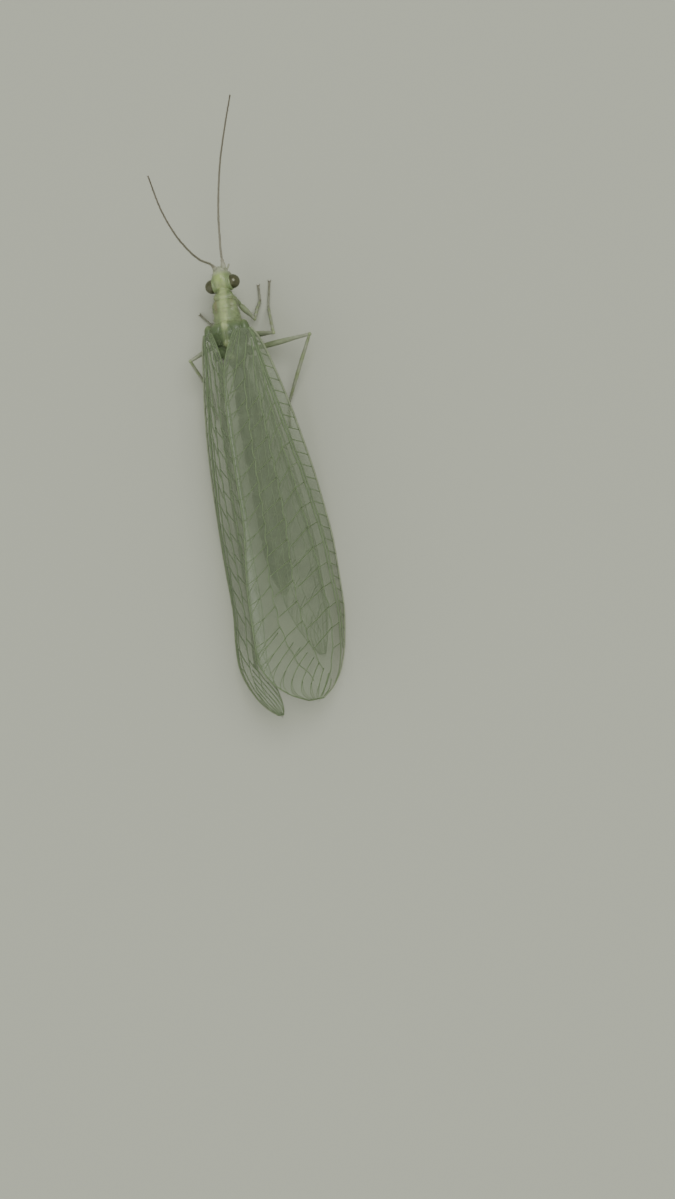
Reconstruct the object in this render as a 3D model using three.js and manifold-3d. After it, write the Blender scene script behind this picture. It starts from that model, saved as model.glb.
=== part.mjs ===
// A green lacewing at rest, life size, in millimetres: +Y is forward, +X the animal's right, +Z up.
// It stands on six feet with its four wings folded like a roof over the abdomen.
// Distances called "back" are measured behind the front of the head.

import * as THREE from 'three';
import { mergeVertices } from 'three/addons/utils/BufferGeometryUtils.js';
import Module from 'manifold-3d';

const wasm = await Module();
wasm.setup();

// Gaps between neighbouring pieces
const WING_GAP = 0.3;
const JOINT_GAP = 0.2;
const LEG_GAP = 0.12;
const EYE_GAP = 0.07;

// Head
const HEAD_CENTRE = new THREE.Vector3(0.0, -0.7, 1.88);
const HEAD_HALF = new THREE.Vector3(0.5, 0.56, 0.56);
const HEAD_YAW = 0.08;
const FACE_NARROWING = 0.3;
const EYE_RADIUS = 0.32;
const EYE_SIDE = 0.42;
const EYE_BACK = 0.97;
const EYE_HEIGHT = 1.98;
const SNOUT_LENGTH = 0.5;
const SNOUT_RADIUS = 0.25;
const MOUTH_GROOVE = 0.05;
const PALP_RADIUS = 0.1;

// Body lengths, each a gap behind the one in front
const PROTHORAX_START = 1.36;
const PROTHORAX_LENGTH = 1.26;
const MESOTHORAX_START = PROTHORAX_START + PROTHORAX_LENGTH + JOINT_GAP;
const MESOTHORAX_LENGTH = 0.86;
const METATHORAX_START = MESOTHORAX_START + MESOTHORAX_LENGTH + JOINT_GAP;
const METATHORAX_LENGTH = 0.54;

// Body stations: share of the length, height of the centre, half width, half height
const PROTHORAX = [
  [0, 2.0, 0.32, 0.36],
  [0.13, 2.05, 0.42, 0.42],
  [0.43, 2.12, 0.5, 0.48],
  [0.75, 2.2, 0.6, 0.54],
  [1, 2.25, 0.66, 0.6],
];
const MESOTHORAX = [
  [0, 2.25, 0.7, 0.66],
  [0.2, 2.27, 0.84, 0.76],
  [0.5, 2.28, 0.9, 0.84],
  [0.85, 2.26, 0.84, 0.82],
  [1, 2.22, 0.76, 0.76],
];
const METATHORAX = [
  [0, 2.15, 0.7, 0.7],
  [0.3, 2.08, 0.72, 0.68],
  [0.7, 1.95, 0.6, 0.58],
  [1, 1.78, 0.44, 0.46],
];
const BODY_SIDES = 20;

// Abdomen
const ABDOMEN_START = METATHORAX_START + METATHORAX_LENGTH + JOINT_GAP;
const ABDOMEN_END = 14.8;
const ABDOMEN_SEGMENTS = 9;
const ABDOMEN_HEIGHT = [[4.62, 1.52], [6.5, 1.26], [9, 1.12], [12, 1.02], [14.8, 0.98]];
const ABDOMEN_RADIUS = [[4.62, 0.3], [5.4, 0.4], [7, 0.5], [10, 0.58], [12.4, 0.6], [14, 0.44], [14.8, 0.2]];
const RING_GROOVE = 0.07;
const ABDOMEN_SIDES = 16;

// Wings: the roof that they lie in, as arcs that steepen away from the ridge
const WING_THICKNESS = 0.5;
const VEIN_HEIGHT = 0.09;
const VEIN_HALF_WIDTH = 0.02;
const SLOPE_AT_RIDGE = THREE.MathUtils.degToRad(53);
const SLOPE_AT_COSTA = THREE.MathUtils.degToRad(73);
const WING_WIDTH = 5.0;
const FLATTENING = THREE.MathUtils.degToRad(45);
const WING_ROOT = 3.15;
const RIDGE_HEIGHT = [[3.15, 3.32], [4.2, 3.68], [6, 4.08], [8.5, 4.36], [12, 4.44], [16, 4.44], [20.4, 4.3]];
const RIDGE_SIDE = [[3.15, 0.6], [4.2, 0.42], [5.5, 0.34], [20.4, 0.34]];
const CROSSED_SIDE = [[3.15, 0.6], [4.2, 0.42], [5.5, 0.34], [11, 0.34], [14.5, 0.48], [17.5, 0.44], [19.5, 0.14],
  [20.4, 0.0]];
const CROSSED_HEIGHT = [[3.15, 3.32], [4.2, 3.68], [6, 4.08], [8.5, 4.36], [11, 4.42], [14.5, 3.92], [17.5, 3.8],
  [19.5, 3.4], [20.4, 3.15]];
const CROSSED_TURN = [[3.15, 0], [15, 0], [20.4, 14]];

// Wing margins: share of the length, distance down the arc
const FORE_RIGHT = {
  length: 16.65,
  side: RIDGE_SIDE,
  height: RIDGE_HEIGHT,
  turn: [[3.15, 0], [20.4, 0]],
  costa: [[0, 0.85], [0.03, 1.45], [0.07, 2.0], [0.15, 2.75], [0.3, 3.75], [0.45, 4.5], [0.62, 4.97], [0.75, 4.95],
    [0.86, 4.5], [0.93, 3.85], [0.975, 3.05], [1, 2.25]],
  anal: [[0, 0], [0.5, 0], [0.6, -0.15], [0.7, -0.65], [0.85, -0.95], [0.9, -0.88], [0.94, -0.5], [0.97, 0.1],
    [0.985, 0.6], [1, 1.3]],
};
const FORE_LEFT = {
  length: 17.1,
  side: CROSSED_SIDE,
  height: CROSSED_HEIGHT,
  turn: CROSSED_TURN,
  costa: [[0, 0.85], [0.03, 1.45], [0.07, 2.0], [0.15, 2.75], [0.3, 3.75], [0.45, 4.5], [0.53, 4.72], [0.62, 4.5],
    [0.7, 4.38], [0.77, 4.36], [0.83, 3.83], [0.9, 2.99], [0.95, 2.15], [0.98, 1.43], [1, 0.74]],
  anal: [[0, 0], [0.9, 0], [0.96, 0.02], [0.985, 0.12], [1, 0.3]],
};
const HIND_RIGHT = {
  start: 4.35,
  side: RIDGE_SIDE,
  height: RIDGE_HEIGHT,
  turn: [[3.15, 0], [20.4, 0]],
  length: 13.55,
  costa: [[0, 2.0], [0.06, 2.35], [0.2, 3.0], [0.35, 3.6], [0.55, 4.3], [0.7, 4.6], [0.85, 4.6], [0.95, 4.2], [1, 3.85]],
  anal: [[0, 1.55], [0.06, 1.45], [0.15, 1.38], [0.7, 1.38], [0.8, 1.5], [0.9, 2.1], [0.96, 2.75], [1, 3.35]],
};
const HIND_LEFT = {
  start: 4.35,
  side: CROSSED_SIDE,
  height: CROSSED_HEIGHT,
  turn: CROSSED_TURN,
  length: 13.55,
  costa: [[0, 2.0], [0.06, 2.35], [0.2, 3.0], [0.35, 3.6], [0.55, 4.2], [0.7, 4.15], [0.85, 4.1], [0.95, 3.75], [1, 3.4]],
  anal: [[0, 1.55], [0.06, 1.45], [0.15, 1.38], [0.7, 1.38], [0.8, 1.5], [0.9, 1.95], [0.96, 2.5], [1, 2.95]],
};
const VEIN_SHARES = [0.16, 0.36, 0.55, 0.8, 0.93];
const PLAIN_SHARES = [0, 0.26, 0.455, 0.68, 1];
const CROSS_VEINS = 6;
const TIP_ROWS = [0.93, 0.965, 0.985, 1];

// Legs: root, trochanter, knee, ankle and toe of each, and how thick they are
const FEMUR_RADIUS = 0.24;
const TIBIA_RADIUS = 0.2;
const TARSUS_RADIUS = 0.12;
const COXA_RADIUS = 0.27;
const LEG_SIDES = 8;
const TOE_HEIGHT = 0.08;
const LEGS = {
  foreleg_right: [[0.28, -1.75, 1.8], [0.34, -1.85, 1.15], [0.88, -2.62, 0.8], [1.12, -1.8, 0.22], [1.12, -1.1]],
  midleg_right: [[0.45, -3.25, 1.6], [0.6, -3.32, 1.15], [1.9, -3.5, 1.95], [1.46, -2.15, 0.24], [1.66, -1.0]],
  hindleg_right: [[0.34, -3.88, 1.5], [0.58, -3.95, 0.98], [3.45, -3.84, 1.7], [1.7, -6.5, 0.25], [1.5, -7.6]],
  foreleg_left: [[-0.28, -1.75, 1.8], [-0.34, -1.85, 1.15], [-0.86, -2.72, 0.85], [-1.3, -2.45, 0.25], [-1.78, -1.9]],
  midleg_left: [[-0.45, -3.25, 1.6], [-0.6, -3.32, 1.15], [-2.1, -4.06, 1.85], [-1.75, -5.6, 0.25], [-1.8, -6.7]],
  hindleg_left: [[-0.34, -3.88, 1.5], [-0.58, -3.95, 0.98], [-1.25, -6.1, 0.95], [-1.5, -8.9, 0.25], [-1.45, -10.0]],
};

// Antennae: a few points that each one passes
const ANTENNA_RADIUS = 0.22;
const ANTENNA_TIP_RADIUS = 0.08;
const ANTENNA_RIGHT = [[0.26, -0.3, 2.08], [0.24, 0.3, 2.18], [0.28, 0.9, 2.27], [0.43, 2.0, 2.45], [0.69, 3.05, 2.7],
  [1.09, 4.26, 3.1], [1.68, 5.53, 3.7], [2.32, 6.71, 4.4]];
const ANTENNA_LEFT = [[-0.28, -0.32, 2.15], [-0.36, -0.1, 2.6], [-0.46, 0.07, 3.5], [-0.63, 0.45, 4.6], [-0.85, 1.14, 5.6],
  [-1.04, 2.18, 6.5], [-1.14, 3.51, 7.2]];

// Smooth value between named stations
function follow(stations, at) {
  if (at <= stations[0][0]) {
    return stations[0][1];
  }
  const last = stations.length - 1;
  if (at >= stations[last][0]) {
    return stations[last][1];
  }
  let i = 0;
  while (stations[i + 1][0] < at) {
    i += 1;
  }
  const rise = (k) => (stations[k + 1][1] - stations[k][1]) / (stations[k + 1][0] - stations[k][0]);
  const slope = (k) => {
    if (k === 0) {
      return rise(0);
    }
    if (k === last) {
      return rise(last - 1);
    }
    const before = rise(k - 1);
    const after = rise(k);
    return before * after <= 0 ? 0 : (2 * before * after) / (before + after);
  };
  const span = stations[i + 1][0] - stations[i][0];
  const u = (at - stations[i][0]) / span;
  const a = (1 + 2 * u) * (1 - u) * (1 - u) * stations[i][1];
  const b = u * (1 - u) * (1 - u) * span * slope(i);
  const c = u * u * (3 - 2 * u) * stations[i + 1][1];
  const d = u * u * (u - 1) * span * slope(i + 1);
  return a + b + c + d;
}

// Closed surface through rings that all have the same number of points
function loft(rings) {
  const count = rings[0].length;
  const points = rings.flat();
  const faces = [];
  for (let r = 0; r < rings.length - 1; r += 1) {
    for (let i = 0; i < count; i += 1) {
      const a = r * count + i;
      const b = r * count + ((i + 1) % count);
      faces.push(a, b, b + count, a, b + count, a + count);
    }
  }
  const first = points.length;
  const middle = (ring) => ring.reduce((sum, p) => sum.add(p), new THREE.Vector3()).divideScalar(count);
  points.push(middle(rings[0]), middle(rings[rings.length - 1]));
  const end = (rings.length - 1) * count;
  for (let i = 0; i < count; i += 1) {
    const next = (i + 1) % count;
    faces.push(first, next, i);
    faces.push(first + 1, end + i, end + next);
  }
  return closedGeometry(points, faces);
}

// Indexed geometry whose faces point out, whichever way round they were listed
function closedGeometry(points, faces) {
  let volume = 0;
  for (let i = 0; i < faces.length; i += 3) {
    const [a, b, c] = [points[faces[i]], points[faces[i + 1]], points[faces[i + 2]]];
    volume += a.dot(new THREE.Vector3().crossVectors(b, c)) / 6;
  }
  if (volume < 0) {
    for (let i = 0; i < faces.length; i += 3) {
      [faces[i + 1], faces[i + 2]] = [faces[i + 2], faces[i + 1]];
    }
  }
  const geometry = new THREE.BufferGeometry().setFromPoints(points);
  geometry.setIndex(faces);
  return geometry;
}

function toSolid(geometry) {
  const bare = geometry.clone();
  bare.deleteAttribute('normal');
  bare.deleteAttribute('uv');
  const merged = mergeVertices(bare, 1e-4);
  return new wasm.Manifold(new wasm.Mesh({
    numProp: 3,
    vertProperties: new Float32Array(merged.attributes.position.array),
    triVerts: new Uint32Array(merged.index.array),
  }));
}

// The largest closed surface of a solid, as geometry
function toGeometry(solid) {
  const pieces = solid.decompose();
  let best = pieces[0];
  for (const piece of pieces) {
    if (piece.volume() > best.volume()) {
      best = piece;
    }
  }
  const mesh = best.getMesh();
  const geometry = new THREE.BufferGeometry();
  geometry.setAttribute('position', new THREE.BufferAttribute(new Float32Array(mesh.vertProperties), 3));
  geometry.setIndex(new THREE.BufferAttribute(new Uint32Array(mesh.triVerts), 1));
  return geometry;
}

function joined(geometries) {
  return geometries.map(toSolid).reduce((whole, piece) => whole.add(piece));
}

// Everything above the floor
function aboveFloor(solid) {
  const size = 60;
  const box = new THREE.BoxGeometry(size, size, size);
  box.translate(0, 0, size / 2);
  return solid.intersect(toSolid(box));
}

// Body length with oval rings, from its stations
function bodyLoft(start, length, stations, sides = BODY_SIDES) {
  const rings = stations.map(([share, height, halfWidth, halfHeight]) => {
    const back = start + share * length;
    const ring = [];
    for (let i = 0; i < sides; i += 1) {
      const angle = (i / sides) * Math.PI * 2;
      ring.push(new THREE.Vector3(Math.cos(angle) * halfWidth, -back, height + Math.sin(angle) * halfHeight));
    }
    return ring;
  });
  return loft(rings);
}

// Tapering round limb between two points, with rounded ends
function limb(from, to, startRadius, endRadius, sides = LEG_SIDES) {
  const axis = new THREE.Vector3().subVectors(to, from);
  const length = axis.length();
  axis.normalize();
  const across = new THREE.Vector3(0, 0, 1).cross(axis);
  if (across.length() < 0.2) {
    across.set(1, 0, 0).cross(axis);
  }
  across.normalize();
  const over = new THREE.Vector3().crossVectors(axis, across);
  const stops = [
    [-0.8 * startRadius, 0.5 * startRadius],
    [-0.4 * startRadius, 0.87 * startRadius],
    [0, startRadius],
    [length * 0.5, (startRadius + endRadius) / 2],
    [length, endRadius],
    [length + 0.4 * endRadius, 0.87 * endRadius],
    [length + 0.8 * endRadius, 0.5 * endRadius],
  ];
  const rings = stops.map(([along, radius]) => {
    const centre = new THREE.Vector3().copy(from).addScaledVector(axis, along);
    const ring = [];
    for (let i = 0; i < sides; i += 1) {
      const angle = (i / sides) * Math.PI * 2;
      ring.push(centre.clone()
        .addScaledVector(across, Math.cos(angle) * radius)
        .addScaledVector(over, Math.sin(angle) * radius));
    }
    return ring;
  });
  return loft(rings);
}

// Tapering thread along a smooth curve
function thread(points, startRadius, endRadius, steps, extend = 0, sides = 8) {
  const stops = points.map((p) => new THREE.Vector3(...p));
  const backward = new THREE.Vector3().subVectors(stops[0], stops[1]).normalize();
  stops[0].addScaledVector(backward, extend);
  const curve = new THREE.CatmullRomCurve3(stops);
  const frames = curve.computeFrenetFrames(steps, false);
  const rings = [];
  for (let k = 0; k <= steps; k += 1) {
    const centre = curve.getPointAt(k / steps);
    const radius = startRadius + (endRadius - startRadius) * (k / steps) ** 1.5;
    const ring = [];
    for (let i = 0; i < sides; i += 1) {
      const angle = (i / sides) * Math.PI * 2;
      ring.push(centre.clone()
        .addScaledVector(frames.normals[k], Math.cos(angle) * radius)
        .addScaledVector(frames.binormals[k], Math.sin(angle) * radius));
    }
    rings.push(ring);
  }
  return loft(rings);
}

// A point of the roof's surface and the way it faces, for the right side or the left
function roofPoint(wing, side, back, down) {
  const growth = down < 0 ? FLATTENING : (SLOPE_AT_COSTA - SLOPE_AT_RIDGE) / WING_WIDTH;
  const turn = THREE.MathUtils.degToRad(follow(wing.turn, back));
  const slope = SLOPE_AT_RIDGE + growth * down;
  const out = (Math.sin(slope) - Math.sin(SLOPE_AT_RIDGE)) / growth;
  const drop = (Math.cos(SLOPE_AT_RIDGE) - Math.cos(slope)) / growth;
  const x = follow(wing.side, back) + out * Math.cos(turn) + drop * Math.sin(turn);
  const z = follow(wing.height, back) - drop * Math.cos(turn) + out * Math.sin(turn);
  return {
    point: new THREE.Vector3(side * x, -back, z),
    normal: new THREE.Vector3(side * Math.sin(slope - turn), 0, Math.cos(slope - turn)),
  };
}

function spread(values, halfWidth) {
  return values.flatMap((v) => [v - halfWidth, v, v + halfWidth]);
}

// Wing as a sheet split alike on both faces, with its veins raised on the outer one
function wingSheet(wing, side, start, inset, grow = 0) {
  const crossings = [];
  for (let k = 1; k <= CROSS_VEINS; k += 1) {
    crossings.push((k / (CROSS_VEINS + 1)) * 0.98);
  }
  const crossHalf = 0.15 / wing.length;
  const rows = [-grow / wing.length, ...spread(crossings, crossHalf), ...TIP_ROWS].sort((a, b) => a - b);
  const columns = [...spread(VEIN_SHARES, VEIN_HALF_WIDTH), ...PLAIN_SHARES].sort((a, b) => a - b);
  const near = (list, value) => list.some((v) => Math.abs(v - value) < 1e-6);
  const outer = [];
  const inner = [];
  for (const row of rows) {
    const back = start + wing.length * row;
    const top = follow(wing.anal, row) - grow;
    const bottom = follow(wing.costa, row) + grow;
    for (const share of columns) {
      const { point, normal } = roofPoint(wing, side, back, top + (bottom - top) * share);
      const mid = point.addScaledVector(normal, -inset);
      const edge = share === 0 || share === 1 || row === rows[0] || row === 1;
      const vein = !edge && (near(VEIN_SHARES, share) || near(crossings, row)) ? VEIN_HEIGHT : 0;
      const half = WING_THICKNESS / 2 + grow;
      outer.push(mid.clone().addScaledVector(normal, half + vein));
      inner.push(mid.clone().addScaledVector(normal, -half));
    }
  }
  const wide = columns.length;
  const count = outer.length;
  const faces = [];
  for (let r = 0; r < rows.length - 1; r += 1) {
    for (let c = 0; c < wide - 1; c += 1) {
      const a = r * wide + c;
      const [b, d, e] = [a + 1, a + wide, a + wide + 1];
      faces.push(a, b, e, a, e, d);
      faces.push(count + a, count + e, count + b, count + a, count + d, count + e);
    }
  }
  const rim = [];
  for (let c = 0; c < wide; c += 1) {
    rim.push(c);
  }
  for (let r = 1; r < rows.length; r += 1) {
    rim.push(r * wide + wide - 1);
  }
  for (let c = wide - 2; c >= 0; c -= 1) {
    rim.push((rows.length - 1) * wide + c);
  }
  for (let r = rows.length - 2; r >= 1; r -= 1) {
    rim.push(r * wide);
  }
  for (let i = 0; i < rim.length; i += 1) {
    const a = rim[i];
    const b = rim[(i + 1) % rim.length];
    faces.push(a, count + b, b, a, count + a, count + b);
  }
  return closedGeometry([...outer, ...inner], faces);
}

const forewing = (wing, side, grow) => wingSheet(wing, side, WING_ROOT, 0, grow);
const hindwing = (wing, side, grow) => {
  return wingSheet(wing, side, wing.start, WING_THICKNESS + WING_GAP + VEIN_HEIGHT, grow);
};

// One leg: coxa, femur, tibia and tarsus, cut flat where it meets the floor
function leg(stops, grow = 0) {
  const [root, trochanter, knee, ankle, toe] = stops.map(([x, y, z = TOE_HEIGHT]) => new THREE.Vector3(x, y, z));
  const pieces = [
    limb(root, trochanter, COXA_RADIUS + grow, FEMUR_RADIUS + grow),
    limb(trochanter, knee, FEMUR_RADIUS + grow, FEMUR_RADIUS * 0.9 + grow),
    limb(knee, ankle, TIBIA_RADIUS * 1.05 + grow, TIBIA_RADIUS * 0.9 + grow),
    limb(ankle, toe, TARSUS_RADIUS * 1.15 + grow, TARSUS_RADIUS + grow),
  ];
  return aboveFloor(joined(pieces));
}

// Head: a rounded capsule that narrows towards the face, with a snout, a mouth line and palps
function headPieces() {
  const skull = new THREE.SphereGeometry(1, 18, 12);
  const at = skull.attributes.position;
  for (let i = 0; i < at.count; i += 1) {
    const [x, y, z] = [at.getX(i), at.getY(i), at.getZ(i)];
    const narrow = 1 - FACE_NARROWING * Math.max(0, y) - 0.15 * Math.max(0, -z);
    at.setXYZ(i, x * HEAD_HALF.x * narrow, y * HEAD_HALF.y, z * HEAD_HALF.z);
  }
  skull.translate(HEAD_CENTRE.x, HEAD_CENTRE.y, HEAD_CENTRE.z);
  const brow = new THREE.Vector3(0, HEAD_CENTRE.y + 0.2, HEAD_CENTRE.z - 0.2);
  const lip = new THREE.Vector3(0, HEAD_CENTRE.y + 0.2 + SNOUT_LENGTH * 0.6, HEAD_CENTRE.z - 0.2 - SNOUT_LENGTH * 0.7);
  const snout = limb(brow, lip, SNOUT_RADIUS * 1.2, SNOUT_RADIUS * 0.7, 12);
  const pieces = [skull, snout];
  for (const side of [-1, 1]) {
    const from = new THREE.Vector3(side * 0.2, lip.y - 0.12, lip.z + 0.12);
    const to = new THREE.Vector3(side * 0.3, lip.y + 0.12, lip.z - 0.28);
    pieces.push(limb(from, to, PALP_RADIUS, PALP_RADIUS * 0.6, 8));
  }
  const groove = new THREE.BoxGeometry(0.8, MOUTH_GROOVE, 0.5);
  groove.rotateX(0.7);
  groove.translate(0, lip.y + 0.02, lip.z - 0.28);
  return joined(pieces).subtract(toSolid(groove));
}

function eyeGeometry(side, grow = 0) {
  const eye = new THREE.SphereGeometry(EYE_RADIUS + grow, 16, 10);
  eye.translate(side * EYE_SIDE, -EYE_BACK, EYE_HEIGHT);
  return eye;
}

const neck = new THREE.Matrix4().makeTranslation(0, -1.25, 0)
  .multiply(new THREE.Matrix4().makeRotationZ(HEAD_YAW))
  .multiply(new THREE.Matrix4().makeTranslation(0, 1.25, 0));

function turned(geometry) {
  return geometry.applyMatrix4(neck);
}

function abdomenGeometry() {
  const stations = [];
  const length = ABDOMEN_END - ABDOMEN_START;
  for (let k = 0; k < ABDOMEN_SEGMENTS; k += 1) {
    for (const [share, full] of [[0.03, 0], [0.22, 1], [0.8, 1]]) {
      const along = (k + share) / ABDOMEN_SEGMENTS;
      const back = ABDOMEN_START + along * length;
      const radius = follow(ABDOMEN_RADIUS, back) - (1 - full) * RING_GROOVE;
      stations.push([along, follow(ABDOMEN_HEIGHT, back), radius, radius * 1.05]);
    }
  }
  stations.push([1, follow(ABDOMEN_HEIGHT, ABDOMEN_END), 0.16, 0.18]);
  return bodyLoft(ABDOMEN_START, length, stations, ABDOMEN_SIDES);
}

// Colours as seen in dull light: yellow-green body, green wings, brassy eyes
const PAINTS = {
  body: new THREE.MeshStandardMaterial({ color: 0x7d9a4c, roughness: 0.5, metalness: 0 }),
  thorax: new THREE.MeshStandardMaterial({ color: 0x5f8440, roughness: 0.5, metalness: 0 }),
  wing: new THREE.MeshStandardMaterial({ color: 0x9db88f, roughness: 0.25, metalness: 0 }),
  eye: new THREE.MeshStandardMaterial({ color: 0x4d4a22, roughness: 0.2, metalness: 0.2 }),
  limb: new THREE.MeshStandardMaterial({ color: 0xa3ad7e, roughness: 0.55, metalness: 0 }),
  antenna: new THREE.MeshStandardMaterial({ color: 0x8f9270, roughness: 0.6, metalness: 0 }),
};

const lacewing = new THREE.Group();

function addNode(name, geometry, paint) {
  const mesh = new THREE.Mesh(geometry, PAINTS[paint]);
  mesh.name = name;
  lacewing.add(mesh);
}

const SIDES = { right: 1, left: -1 };
const FOREWINGS = { right: FORE_RIGHT, left: FORE_LEFT };
const HINDWINGS = { right: HIND_RIGHT, left: HIND_LEFT };

let head = toSolid(turned(toGeometry(headPieces())));
for (const side of [1, -1]) {
  head = head.subtract(toSolid(turned(eyeGeometry(side, EYE_GAP))));
}
const antennae = {
  right: (grow) => thread(ANTENNA_RIGHT, ANTENNA_RADIUS + grow, ANTENNA_TIP_RADIUS + grow, 22, grow),
  left: (grow) => thread(ANTENNA_LEFT, ANTENNA_RADIUS + grow, ANTENNA_TIP_RADIUS + grow, 22, grow),
};
for (const name of Object.keys(SIDES)) {
  head = head.subtract(toSolid(antennae[name](EYE_GAP)));
  addNode(`antenna_${name}`, antennae[name](0), 'antenna');
  addNode(`eye_${name}`, turned(eyeGeometry(SIDES[name])), 'eye');
}
addNode('head', toGeometry(head), 'body');

let prothorax = toSolid(bodyLoft(PROTHORAX_START, PROTHORAX_LENGTH, PROTHORAX));
let mesothorax = toSolid(bodyLoft(MESOTHORAX_START, MESOTHORAX_LENGTH, MESOTHORAX));
let metathorax = toSolid(bodyLoft(METATHORAX_START, METATHORAX_LENGTH, METATHORAX));
for (const [name, side] of Object.entries(SIDES)) {
  prothorax = prothorax.subtract(leg(LEGS[`foreleg_${name}`], LEG_GAP));
  mesothorax = mesothorax.subtract(leg(LEGS[`midleg_${name}`], LEG_GAP));
  mesothorax = mesothorax.subtract(leg(LEGS[`hindleg_${name}`], LEG_GAP));
  metathorax = metathorax.subtract(leg(LEGS[`hindleg_${name}`], LEG_GAP));
  const overFore = toSolid(forewing(FOREWINGS[name], side, WING_GAP));
  const overHind = toSolid(hindwing(HINDWINGS[name], side, WING_GAP));
  mesothorax = mesothorax.subtract(overFore).subtract(overHind);
  metathorax = metathorax.subtract(overFore).subtract(overHind);
  for (const pair of ['foreleg', 'midleg', 'hindleg']) {
    addNode(`${pair}_${name}`, toGeometry(leg(LEGS[`${pair}_${name}`])), 'limb');
  }
  addNode(`forewing_${name}`, toGeometry(aboveFloor(toSolid(forewing(FOREWINGS[name], side, 0)))), 'wing');
  addNode(`hindwing_${name}`, toGeometry(aboveFloor(toSolid(hindwing(HINDWINGS[name], side, 0)))), 'wing');
}
addNode('prothorax', toGeometry(prothorax), 'body');
addNode('mesothorax', toGeometry(mesothorax), 'thorax');
addNode('metathorax', toGeometry(metathorax), 'thorax');
addNode('abdomen', abdomenGeometry(), 'body');

// The frame's origin is under the middle of the whole animal, on the floor
const bounds = new THREE.Box3().setFromObject(lacewing);
lacewing.position.set(-(bounds.min.x + bounds.max.x) / 2, -(bounds.min.y + bounds.max.y) / 2, -bounds.min.z);

export default lacewing;
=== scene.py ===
"""A green lacewing at rest, life size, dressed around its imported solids.

All lengths are in millimetres in the animal's own frame until a piece is made:
+Y is forward, +X the animal's right, +Z up, and "back" is measured behind the front of the head.
"""
import random
from math import atan2, cos, exp, inf, pi, radians, sin, tau

import bmesh
import bpy
from mathutils import Matrix, Vector, noise


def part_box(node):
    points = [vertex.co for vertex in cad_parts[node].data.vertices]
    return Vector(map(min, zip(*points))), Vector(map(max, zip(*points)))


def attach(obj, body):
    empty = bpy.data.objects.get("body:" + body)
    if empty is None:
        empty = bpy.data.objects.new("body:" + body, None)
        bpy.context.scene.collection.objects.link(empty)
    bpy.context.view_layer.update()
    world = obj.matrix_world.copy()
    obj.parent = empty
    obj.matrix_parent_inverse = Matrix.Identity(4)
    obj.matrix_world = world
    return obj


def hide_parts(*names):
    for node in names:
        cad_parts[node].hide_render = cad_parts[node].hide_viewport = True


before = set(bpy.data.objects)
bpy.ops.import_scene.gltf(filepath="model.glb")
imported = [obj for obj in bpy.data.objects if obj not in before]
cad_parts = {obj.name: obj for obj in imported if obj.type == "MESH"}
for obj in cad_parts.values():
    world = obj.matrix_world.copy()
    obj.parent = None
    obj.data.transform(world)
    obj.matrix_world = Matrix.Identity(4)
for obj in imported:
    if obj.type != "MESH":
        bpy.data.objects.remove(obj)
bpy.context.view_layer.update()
scene = bpy.context.scene

MM = 0.001
ABDOMEN_START = 4.62
ABDOMEN_END = 14.8
abdomen_low, abdomen_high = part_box("abdomen")
ORIGIN = Vector(((abdomen_low.x + abdomen_high.x) / 2, abdomen_low.y + ABDOMEN_END * MM, 0))

# Head
HEAD_CENTRE = Vector((0.0, -0.7, 1.88))
HEAD_HALF = Vector((0.48, 0.56, 0.55))
HEAD_YAW = 0.08
NECK_PIVOT = Vector((0.0, -1.25, 0.0))
FACE_NARROWING = 0.46
CHIN_NARROWING = 0.15
EYE_RADIUS = 0.315
EYE_SIDE = 0.49
EYE_BACK = 0.97
EYE_HEIGHT = 1.98
FACET_DEPTH = 0.01
EYE_FLATNESS = 0.98
RIM_SIDE = 0.38
RIM_RADIUS = 0.31
RIM_THICKNESS = 0.058

# Lumps of the head, each as its centre and half sizes: on each side, then in the middle
HEAD_SIDE_LUMPS = {
    "brow": ((0.14, -0.86, 2.16), (0.24, 0.36, 0.24)),
    "cheek": ((0.27, -0.66, 1.66), (0.16, 0.26, 0.3)),
    "antenna socket": ((0.16, -0.36, 2.06), (0.13, 0.12, 0.14)),
    "eye seat": ((0.27, -EYE_BACK, EYE_HEIGHT), (0.13, 0.34, 0.34)),
}
HEAD_MIDDLE_LUMPS = {
    "front": ((0, -0.42, 1.84), (0.26, 0.26, 0.26)),
    "upper lip": ((0, -0.15, 1.3), (0.15, 0.06, 0.12)),
    "lower lip": ((0, -0.42, 1.3), (0.16, 0.12, 0.12)),
    "nape": ((0, -1.12, 1.92), (0.33, 0.2, 0.36)),
}
JAW = [(0.13, -0.34, 1.4), (0.13, -0.24, 1.28), (0.05, -0.16, 1.18)]
JAW_RADII = [0.1, 0.09, 0.03]
FACE_PLATE = [(0, -0.52, 1.72), (0, -0.36, 1.52), (0, -0.26, 1.4), (0, -0.2, 1.32)]
FACE_PLATE_RADII = [0.3, 0.27, 0.2, 0.13]

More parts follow.
